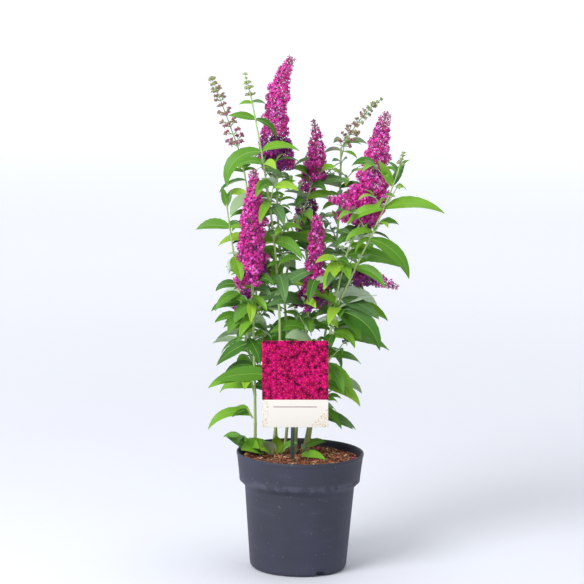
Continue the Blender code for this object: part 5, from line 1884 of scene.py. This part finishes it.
@dataclass(frozen=True)
class Pot:
    """A nursery pot: a moulded lip, a deep collar with a step, a tapering body and a notched foot."""

    segments: int = 176
    notch_depth: float = 0.0062
    notch_height: float = 0.0075
    notch_half: float = 0.092

    def body_radius(self, z: float) -> float:
        """The outer radius below the collar."""
        top = POT_HEIGHT - POT_COLLAR_HEIGHT - POT_STEP_HEIGHT
        return POT_BASE_RADIUS + (POT_BODY_RADIUS - POT_BASE_RADIUS) * z / top

    def profile(self) -> list[tuple[float, float]]:
        """(radius, height) from the floor's middle, up the inside, over the lip and down to the underside."""
        collar_foot = POT_HEIGHT - POT_COLLAR_HEIGHT
        step_foot = collar_foot - POT_STEP_HEIGHT
        inner = POT_RIM_RADIUS - POT_WALL
        line = [
            (0.0, POT_FLOOR),
            (POT_BASE_RADIUS - POT_CORNER, POT_FLOOR),
            (self.body_radius(0.012) - POT_WALL, 0.012),
            (POT_BODY_RADIUS - POT_WALL, step_foot),
            (POT_COLLAR_RADIUS - POT_WALL, collar_foot),
            (inner - 0.0006, POT_HEIGHT - 0.006),
            (inner - 0.0008, POT_HEIGHT - 0.0016),
        ]
        middle = POT_RIM_RADIUS - POT_WALL / 2
        for k in range(9):
            angle = pi - pi * k / 8
            reach = (POT_WALL / 2 + 0.0006) * cos(angle)
            line.append((middle + reach, POT_HEIGHT - 0.0014 + 0.0014 * sin(angle)))
        lip_foot = (POT_RIM_RADIUS - 0.0004, POT_HEIGHT - 0.0058)
        line += [
            (POT_RIM_RADIUS + 0.0006, POT_HEIGHT - 0.0044),
            (POT_RIM_RADIUS + 0.0003, POT_HEIGHT - 0.0052),
            lip_foot,
        ]
        for k in range(1, 8):
            drawn_in = (POT_COLLAR_RADIUS + 0.0004 - POT_RIM_RADIUS) * k / 8
            line.append((lip_foot[0] + drawn_in, lip_foot[1] - (POT_COLLAR_HEIGHT - 0.0085) * k / 8))
        line += [
            (POT_COLLAR_RADIUS + 0.0003, collar_foot + 0.0012),
            (POT_COLLAR_RADIUS, collar_foot + 0.0003),
            (POT_COLLAR_RADIUS - 0.0006, collar_foot - 0.0005),
            (POT_COLLAR_RADIUS - 0.0022, collar_foot - 0.0014),
            (POT_BODY_RADIUS + 0.0016, step_foot + 0.0018),
            (POT_BODY_RADIUS + 0.0004, step_foot + 0.0004),
            (POT_BODY_RADIUS - 0.0001, step_foot - 0.0012),
        ]
        for k in range(1, 14):
            z = (step_foot - 0.0012) + (POT_CORNER - step_foot + 0.0012) * k / 14
            line.append((self.body_radius(z), z))
        centre = POT_BASE_RADIUS - POT_CORNER + 0.0006
        for k in range(7):
            angle = -pi / 2 * k / 6
            line.append((centre + POT_CORNER * cos(angle), POT_CORNER + POT_CORNER * sin(angle)))
        return line + [(0.0, 0.0)]

    def pressed(self, angle: float, z: float) -> float:
        """How far the wall is pressed in at a notch of the foot.

        Args:
            angle: The place round the pot, in radians.
            z: Its height.

        Returns:
            The depth, which is 0 outside the notches.
        """
        round_once = 2.0 * pi
        centres = [round_once * (k + NOTCH_PHASE) / NOTCH_COUNT for k in range(NOTCH_COUNT)]
        nearest = min(abs((angle - centre + pi) % round_once - pi) for centre in centres)
        return self.notch_depth if z <= self.notch_height and nearest < self.notch_half else 0.0

    def build(self) -> None:
        """Makes the pot's piece."""
        line = self.profile()
        corners = []
        for radius, z in line[1:-1]:
            outer = radius > POT_BASE_RADIUS - POT_CORNER and z < 0.011 and (radius, z) != line[2]
            for x, y, _ in circle(1.0, 0.0, self.segments):
                reach = radius - (self.pressed(atan2(y, x), z) if outer else 0.0)
                corners.append((reach * x, reach * y, z))
        faces = ring_faces(len(line) - 2, self.segments, inward=True)
        middle = len(corners)
        last = middle - self.segments
        corners += [(0.0, 0.0, POT_FLOOR), (0.0, 0.0, 0.0)]
        for k in range(self.segments):
            n = (k + 1) % self.segments
            faces += [(middle, k, n), (middle + 1, last + n, last + k)]
        settle(single("pot_shell", corners, faces, PotFinish().material()), "pot_plastic", "pot")
        LOG.info("pot: %d faces", len(faces))


class ChipTone(Palette):
    """The finishes of the potting mix's chips and fibres."""

    DARK = PlainFinish("chip_dark", (72, 44, 34), 0.9)
    RUST = PlainFinish("chip_rust", (152, 84, 58), 0.9)
    BROWN = PlainFinish("chip_brown", (120, 74, 54), 0.9)
    TAN = PlainFinish("chip_tan", (196, 136, 98), 0.9)
    STRAW = PlainFinish("chip_straw", (224, 186, 144), 0.9)
    GREY = PlainFinish("chip_grey", (120, 104, 92), 0.9)


CHIP_MIX = [ChipTone.DARK] * 3 + [ChipTone.RUST] * 4 + [ChipTone.BROWN] * 4 + [ChipTone.TAN] * 2
CHIP_MIX += [ChipTone.STRAW, ChipTone.GREY]
FIBRE_MIX = [ChipTone.RUST] * 2 + [ChipTone.BROWN] + [ChipTone.TAN] * 2 + [ChipTone.STRAW]

# Where single florets have fallen on the mix.
FALLEN = (
    (0.090, -0.018, FlowerTone.MAGENTA),
    (0.083, -0.030, FlowerTone.CRIMSON),
    (0.087, -0.006, FlowerTone.MAGENTA),
    (-0.060, -0.052, FlowerTone.DUSK),
    (0.030, 0.066, FlowerTone.MAGENTA),
)


@dataclass(frozen=True)
class MixFinish:
    """Fine dark peat and coir between the chips."""

    dark: Colour = colour(52, 32, 26)
    warm: Colour = colour(134, 78, 56)

    def material(self) -> Material:
        """The material."""
        graph = Graph("peat")
        where = graph.place()
        grain = graph.noise(where, 420.0, 5.0, 0.7)
        clump = graph.noise(where, 90.0, 4.0)
        lit = (grain.fade(0.35, 0.75) * 0.8 + clump.fade(0.5, 0.8) * 0.3).least(1.0)
        base = graph.mix(lit, self.dark, self.warm)
        graph.bump(grain + clump * 0.6, 0.0014, 0.9)
        return graph.surface(Base_Color=base, Roughness=0.95, Specular_IOR_Level=0.15)


@dataclass(frozen=True)
class PottingMix:
    """The mix's uneven top, strewn with bark chips, coir fibres and a few fallen florets."""

    chips: int = 1700
    fibres: int = 420
    rings: int = 30
    segments: int = 72

    def reach(self) -> float:
        """The radius of the mix where it meets the wall."""
        slope = (POT_RIM_RADIUS - POT_COLLAR_RADIUS) / POT_COLLAR_HEIGHT
        return POT_COLLAR_RADIUS + slope * (SOIL_LEVEL - POT_HEIGHT + POT_COLLAR_HEIGHT) - POT_WALL - CLEAR

    def height(self, x: float, y: float) -> float:
        """How high the mix stands at a place.

        Args:
            x: The place's first coordinate.
            y: Its second.

        Returns:
            The height, with broad and fine bumps and a drop towards the wall.
        """
        bump = noise.noise(Vector((x * 38.0, y * 38.0, 0.3))) * 0.0018
        bump += noise.noise(Vector((x * 130.0, y * 130.0, 4.7))) * 0.0012
        edge = max(hypot(x, y) / self.reach() - 0.86, 0.0) * 0.012
        return SOIL_LEVEL - 0.0006 + bump - edge

    def top(self) -> tuple[list, list]:
        """The corners and faces of the uneven top and the sides under it."""
        corners = [(0.0, 0.0, self.height(0.0, 0.0))]
        for ring in range(1, self.rings + 1):
            places = circle(self.reach() * ring / self.rings, 0.0, self.segments)
            corners += [(x, y, self.height(x, y)) for x, y, _ in places]
        low = POT_COLLAR_RADIUS - POT_WALL - CLEAR * 2
        corners += circle(low, POT_HEIGHT - POT_COLLAR_HEIGHT, self.segments)
        faces = [(0, 1 + k, 1 + (k + 1) % self.segments) for k in range(self.segments)]
        return corners, faces + ring_faces(self.rings + 1, self.segments, 1, inward=True)

    def strewn(self, rng: Random, margin: float) -> tuple[float, float]:
        """A place on the mix, a margin in from the wall."""
        distance = (self.reach() - margin) * sqrt(rng.random())
        angle = rng.uniform(0.0, 2.0 * pi)
        return distance * cos(angle), distance * sin(angle)

    def chip(self, rng: Random) -> Mesh:
        """One splintered chip lying on the mix.

        Args:
            rng: The mix's seeded numbers.

        Returns:
            Its corners and faces.
        """
        length = rng.uniform(0.0022, 0.0060) if rng.random() < 0.85 else rng.uniform(0.006, 0.011)
        wide = length * rng.uniform(0.25, 0.6)
        thick = rng.uniform(0.0005, 0.0013)
        x, y = self.strewn(rng, length * 0.6)
        spot = Vector((x, y, self.height(x, y) + thick * 0.3 + rng.uniform(0.0, 0.0012)))
        turn = Matrix.Rotation(rng.uniform(0.0, 6.3), 3, "Z") @ Matrix.Rotation(rng.gauss(0.0, 0.28), 3, "Y")
        turn = turn @ Matrix.Rotation(rng.gauss(0.0, 0.35), 3, "X")
        corners = []
        for x_side, y_side in ((-1, -1), (-0.2, -1.15), (1, -0.7), (0.85, 0.8), (-0.3, 1.0), (-1.05, 0.5)):
            wobble = rng.uniform(0.75, 1.2)
            for z_side in (-0.5, 0.5):
                place = Vector((x_side * wobble * length / 2, y_side * wobble * wide / 2, z_side * thick))
                corners.append(spot + turn @ place)
        faces = [(1, 3, 5, 7, 9, 11), (10, 8, 6, 4, 2, 0)]
        faces += [(2 * k, 2 * ((k + 1) % 6), 2 * ((k + 1) % 6) + 1, 2 * k + 1) for k in range(6)]
        return np.array(corners), faces

    def fibre(self, rng: Random) -> Mesh:
        """One bent fibre of coir.

        Args:
            rng: The mix's seeded numbers.

        Returns:
            Its corners and faces.
        """
        length = rng.uniform(0.006, 0.022)
        spot = Vector((*self.strewn(rng, length), 0.0))
        heading = rng.uniform(0.0, 360.0)
        bend = rng.uniform(-70.0, 70.0)
        line = []
        for k in range(5):
            lift = 0.0012 + 0.0022 * sin(pi * k / 4) * rng.random()
            line.append(Vector((spot.x, spot.y, self.height(spot.x, spot.y) + lift)))
            spot += heading_of(heading + bend * k / 4, 0.0) * length / 4
        return tube(line, [0.00022] * 4 + [0.00012], 3)

    def build(self) -> None:
        """Makes the mix's pieces."""
        rng = Random("potting_mix")
        settle(single("peat_top", *self.top(), MixFinish().material()), "potting_mix", "potting_mix")
        scraps = Bunch()
        for _ in range(self.chips):
            scraps.add(*self.chip(rng), rng.choice(CHIP_MIX).number)
        for _ in range(self.fibres):
            scraps.add(*self.fibre(rng), rng.choice(FIBRE_MIX).number)
        settle(scraps.build("bark_chips", ChipTone.materials(), smooth=False), "potting_mix")
        fallen = Bunch()
        corners, faces, _ = floret_template()
        for x, y, tone in FALLEN:
            facing = Vector((rng.uniform(-0.6, 0.6), rng.uniform(-0.9, 0.0), 0.8))
            spot = Vector((x, y, self.height(x, y) + 0.003))
            fallen.add(placed(corners, facing, rng.random(), 1.0, spot), faces, tone.number)
        settle(fallen.build("fallen_florets", FlowerTone.materials(), smooth=False), "blossom")
        LOG.info("potting mix: %d chips, %d fibres", self.chips, self.fibres)


@dataclass(frozen=True)
class PrintFinish:
    """A printed card: a field of scattered flowers over a pale panel with gold flecks and one plain rule."""

    field_foot: float = -0.0263
    deep: Colour = colour(66, 0, 30)
    petal: Colour = colour(142, 0, 62)
    light: Colour = colour(214, 4, 114)
    heart: Colour = colour(232, 84, 44)
    panel: Colour = colour(240, 236, 228)
    gold: Colour = colour(196, 150, 62)
    rule: Colour = colour(120, 36, 92)

    def flowers(self, graph: Graph, where: Socket, scale: float) -> tuple[Value, Value, Value]:
        """Scattered four-lobed flowers, each number from 0 to 1.

        Args:
            graph: The material's nodes.
            where: The place on the card.
            scale: How many there are to a metre.

        Returns:
            Where the petals are, where the hearts are, and a number for each flower.
        """
        sides = {0: graph.axis(where, "X"), 1: graph.axis(where, "Z")}
        flat = graph.node("ShaderNodeCombineXYZ", {}, sides).outputs[0]
        look = {"Vector": flat, "Scale": scale, "Randomness": 0.85}
        cells = graph.node("ShaderNodeTexVoronoi", {"voronoi_dimensions": "2D"}, look).outputs
        away = {0: flat, 1: cells["Position"]}
        spread = graph.node("ShaderNodeVectorMath", {"operation": "SUBTRACT"}, away).outputs[0]
        chance = graph.axis(cells["Color"], "X")
        across = graph.axis(spread, "X")
        up = graph.axis(spread, "Y")
        turn = up.math("ARCTAN2", up, across) * 4.0 + chance * 6.0
        reach = graph.far(spread) * scale
        lobe = 0.42 + turn.math("COSINE", turn) * 0.15
        petals = 1.0 - (reach / lobe).fade(0.85, 1.05)
        return petals, 1.0 - reach.fade(0.07, 0.10), chance * 0.7 + reach * 0.6

    def material(self) -> Material:
        """The material."""
        graph = Graph("label_print")
        where = graph.place((1.0, 0.0, 1.0))
        left = graph.axis(where, "X")
        tall = graph.axis(where, "Z")
        back = graph.noise(where, 60.0, 3.0)
        base = graph.mix(back.fade(0.40, 0.66), self.deep, self.petal)
        for scale, least in ((128.0, 0.35), (98.0, 0.85)):
            petals, hearts, chance = self.flowers(graph, where, scale)
            tint = graph.mix(chance.fade(0.0, 0.9), self.petal, self.light)
            base = graph.mix(petals * (back.fade(0.30, 0.55) * (1.0 - least) + least), base, tint)
            base = graph.mix(hearts, base, self.heart)
        flecks = 1.0 - graph.cells(where, 520.0).fade(0.28, 0.36)
        side = 1.0 - (left + LABEL_WIDTH / 2).fade(0.003, 0.016)
        side = side.most((left - tall).fade(0.082, 0.112))
        dust = flecks * side.over(graph.noise(where, 240.0, 2.0) * 0.8)
        panel = graph.mix(dust, self.panel, self.gold)
        line = 1.0 - ((tall - self.field_foot + 0.012) / 0.0006).size().over(1.0)
        inside = 1.0 - (left.size() / 0.036).over(1.0)
        panel = graph.mix(line * inside, panel, self.rule)
        front = graph.mix(tall.over(self.field_foot), panel, base)
        depth = graph.axis(graph.place(), "Y")
        face = graph.mix(depth.over(0.0), front, self.panel)
        return graph.surface(Base_Color=face, Roughness=0.52 + back * 0.10, Specular_IOR_Level=0.12)


@dataclass(frozen=True)
class PlasticFinish:
    """Smooth dark plastic with faint draw lines."""

    base: Colour = colour(44, 60, 62)
    line: Colour = colour(64, 82, 82)

    def material(self) -> Material:
        """The material."""
        graph = Graph("stick_plastic")
        drawn = graph.noise(graph.place((900.0, 900.0, 12.0)), 1.0, 3.0)
        base = graph.mix(drawn.fade(0.4, 0.7), self.base, self.line)
        graph.bump(drawn, 0.0002, 0.5)
        return graph.surface(Base_Color=base, Roughness=0.42 + drawn * 0.12)


@dataclass(frozen=True)
class Label:
    """A printed card with rounded corners on a tapering stick."""

    corner_steps: int = 6
    edge: float = 0.00018
    stick_rings: int = 12
    stick_left: float = 0.0025

    def outline(self, inset: float) -> list[tuple[float, float]]:
        """The card's outline.

        Args:
            inset: How far it's drawn in.

        Returns:
            The places, anticlockwise from the right.
        """
        spots = []
        reach = LABEL_CORNER - inset
        for x, z, start in ((1, 1, 0.0), (-1, 1, 90.0), (-1, -1, 180.0), (1, -1, 270.0)):
            centre_x = x * (LABEL_WIDTH / 2 - LABEL_CORNER)
            centre_z = z * (LABEL_HEIGHT / 2 - LABEL_CORNER)
            for k in range(self.corner_steps + 1):
                angle = radians(start + 90.0 * k / self.corner_steps)
                spots.append((centre_x + reach * cos(angle), centre_z + reach * sin(angle)))
        return spots

    def card(self) -> None:
        """Makes the card, slightly rounded at its edges."""
        half = LABEL_THICKNESS / 2
        layers = ((self.edge, -half), (0.0, -half + self.edge), (0.0, half - self.edge), (self.edge, half))
        corners = [(x, depth, z) for inset, depth in layers for x, z in self.outline(inset)]
        count = len(self.outline(0.0))
        faces = [tuple(range(count)), tuple(reversed(range(3 * count, 4 * count)))]
        faces += ring_faces(len(layers), count, inward=True)
        piece = single("printed_card", corners, faces, PrintFinish().material(), smooth=False)
        piece.location = LABEL_CENTRE
        piece.rotation_euler = (0.0, LABEL_TILT, 0.0)
        settle(piece, "label_card", "label_card")

    def stick(self) -> None:
        """Makes the stick, from the mix to behind the card."""
        deep = STICK_THICKNESS / 2
        behind = LABEL_CENTRE[1] + LABEL_THICKNESS / 2 + CLEAR + deep
        foot = SOIL_LEVEL - 0.002
        section = ((1, 0.4), (0.82, 1), (-0.82, 1), (-1, 0.4), (-1, -0.4), (-0.82, -1), (0.82, -1), (1, -0.4))
        sides = len(section)
        corners = []
        for ring in range(self.stick_rings + 1):
            s = ring / self.stick_rings
            wide = STICK_WIDTH / 2 * (0.86 + 0.14 * min(s * 2.5, 1.0)) * (1.0 if s < 0.98 else 0.9)
            left = LABEL_CENTRE[0] - self.stick_left
            z = foot + (STICK_TOP - foot) * s
            corners += [(left + x * wide, behind + y * deep, z) for x, y in section]
        faces = [tuple(reversed(range(sides))), tuple(range(len(corners) - sides, len(corners)))]
        faces += ring_faces(self.stick_rings + 1, sides)
        piece = single("stick", corners, faces, PlasticFinish().material(), smooth=False)
        settle(piece, "label_stick", "label_stick")

    def build(self) -> None:
        """Makes the label's pieces."""
        self.card()
        self.stick()
        LOG.info("label: card and stick")


# --- studio


@dataclass(frozen=True)
class Lamp:
    """A soft area lamp that faces a point."""

    name: str
    spot: Triple
    aim: Triple
    size: float
    power: float

    def build(self) -> None:
        """Adds the lamp."""
        data = bpy.data.lights.new(self.name, "AREA")
        data.shape = "DISK"
        data.size = self.size
        data.energy = self.power
        lamp = linked(self.name, data)
        lamp.location = self.spot
        lamp.rotation_euler = (Vector(self.aim) - Vector(self.spot)).to_track_quat("-Z", "Y").to_euler()


@dataclass(frozen=True)
class Studio:
    """The pale floor that curves up into a backdrop, the lamps, the sky and the camera."""

    half_width: float = 15.0
    front: float = -15.0
    bend: float = 7.0
    bend_radius: float = 1.5
    top: float = 7.0
    eye: Triple = (-0.01868, -5.0, 1.277)
    pitch: float = 80.755
    roll: float = 1.1
    lens: float = 189.68
    sky: Colour = (0.98, 0.99, 1.0)
    sky_strength: float = 0.42
    lamps: tuple[Lamp, ...] = (
        Lamp("key", (-2.0, -2.3, 2.5), (0.0, 0.0, 0.45), 2.0, 114.0),
        Lamp("fill", (2.2, -2.0, 1.3), (0.0, 0.0, 0.45), 2.0, 3.0),
        Lamp("top", (0.2, 0.4, 2.8), (0.0, 0.0, 0.3), 1.8, 22.0),
    )

    def paper(self) -> Material:
        """The floor's finish, which also emits light that grows away from the pot: painted light, standing in
        for studio light on the far floor and backdrop.
        """
        graph = Graph("paper")
        where = graph.place()
        soft = graph.noise(where, 1.5, 2.0)
        away = graph.far(where)
        # Painted light: the emission is nil within 0.3 m of the pot's middle and strongest far off, so the
        # far floor and backdrop shine white.
        painted_glow = away.fade(0.3, 3.6) * 0.36 + away.fade(2.8, 7.5) * 0.14
        return graph.surface(
            Base_Color=graph.mix(soft, colour(232, 235, 244), colour(236, 238, 246)),
            Roughness=0.9,
            Specular_IOR_Level=0.1,
            Emission_Color=graph.mix(painted_glow, (0.0, 0.0, 0.0), (0.97, 0.985, 1.0)),
            Emission_Strength=1.0,
        )

    def floor(self) -> None:
        """Makes the floor and backdrop as one sheet."""
        line = [(self.front + (self.bend - self.front) * k / 8, 0.0) for k in range(9)]
        for k in range(1, 17):
            angle = pi / 2 * k / 16
            y = self.bend + self.bend_radius * sin(angle)
            line.append((y, self.bend_radius * (1.0 - cos(angle))))
        line.append((self.bend + self.bend_radius, self.top))
        corners = [(x, y, z) for y, z in line for x in (-self.half_width, self.half_width)]
        faces = [(2 * k, 2 * k + 1, 2 * k + 3, 2 * k + 2) for k in range(len(line) - 1)]
        single("backdrop", corners, faces, self.paper())

    def camera(self) -> None:
        """Adds the camera."""
        lens = bpy.data.cameras.new("camera")
        lens.lens = self.lens
        lens.sensor_width = 36.0
        lens.clip_end = 60.0
        camera = linked("camera", lens)
        camera.location = self.eye
        pitch = Matrix.Rotation(radians(self.pitch), 3, "X")
        roll = Matrix.Rotation(radians(self.roll), 3, "Z")
        camera.rotation_euler = (pitch @ roll).to_euler()
        bpy.context.scene.camera = camera

    def build(self) -> None:
        """Sets up the studio."""
        self.floor()
        for lamp in self.lamps:
            lamp.build()
        world = bpy.data.worlds.new("studio")
        world.use_nodes = True
        inputs = world.node_tree.nodes["Background"].inputs
        inputs[0].default_value = (*self.sky, 1.0)
        inputs[1].default_value = self.sky_strength
        bpy.context.scene.world = world
        bpy.context.scene.view_settings.view_transform = "Standard"
        self.camera()
        LOG.info("studio: %d lamps", len(self.lamps))


def main() -> None:
    """Builds the pot, the mix, the label, the plant and the studio, and notes the sizes."""
    logging.basicConfig(level=logging.INFO, format="%(name)s %(message)s")
    Pot().build()
    PottingMix().build()
    Label().build()
    Bush().build()
    Studio().build()


if __name__ == "__main__":
    main()
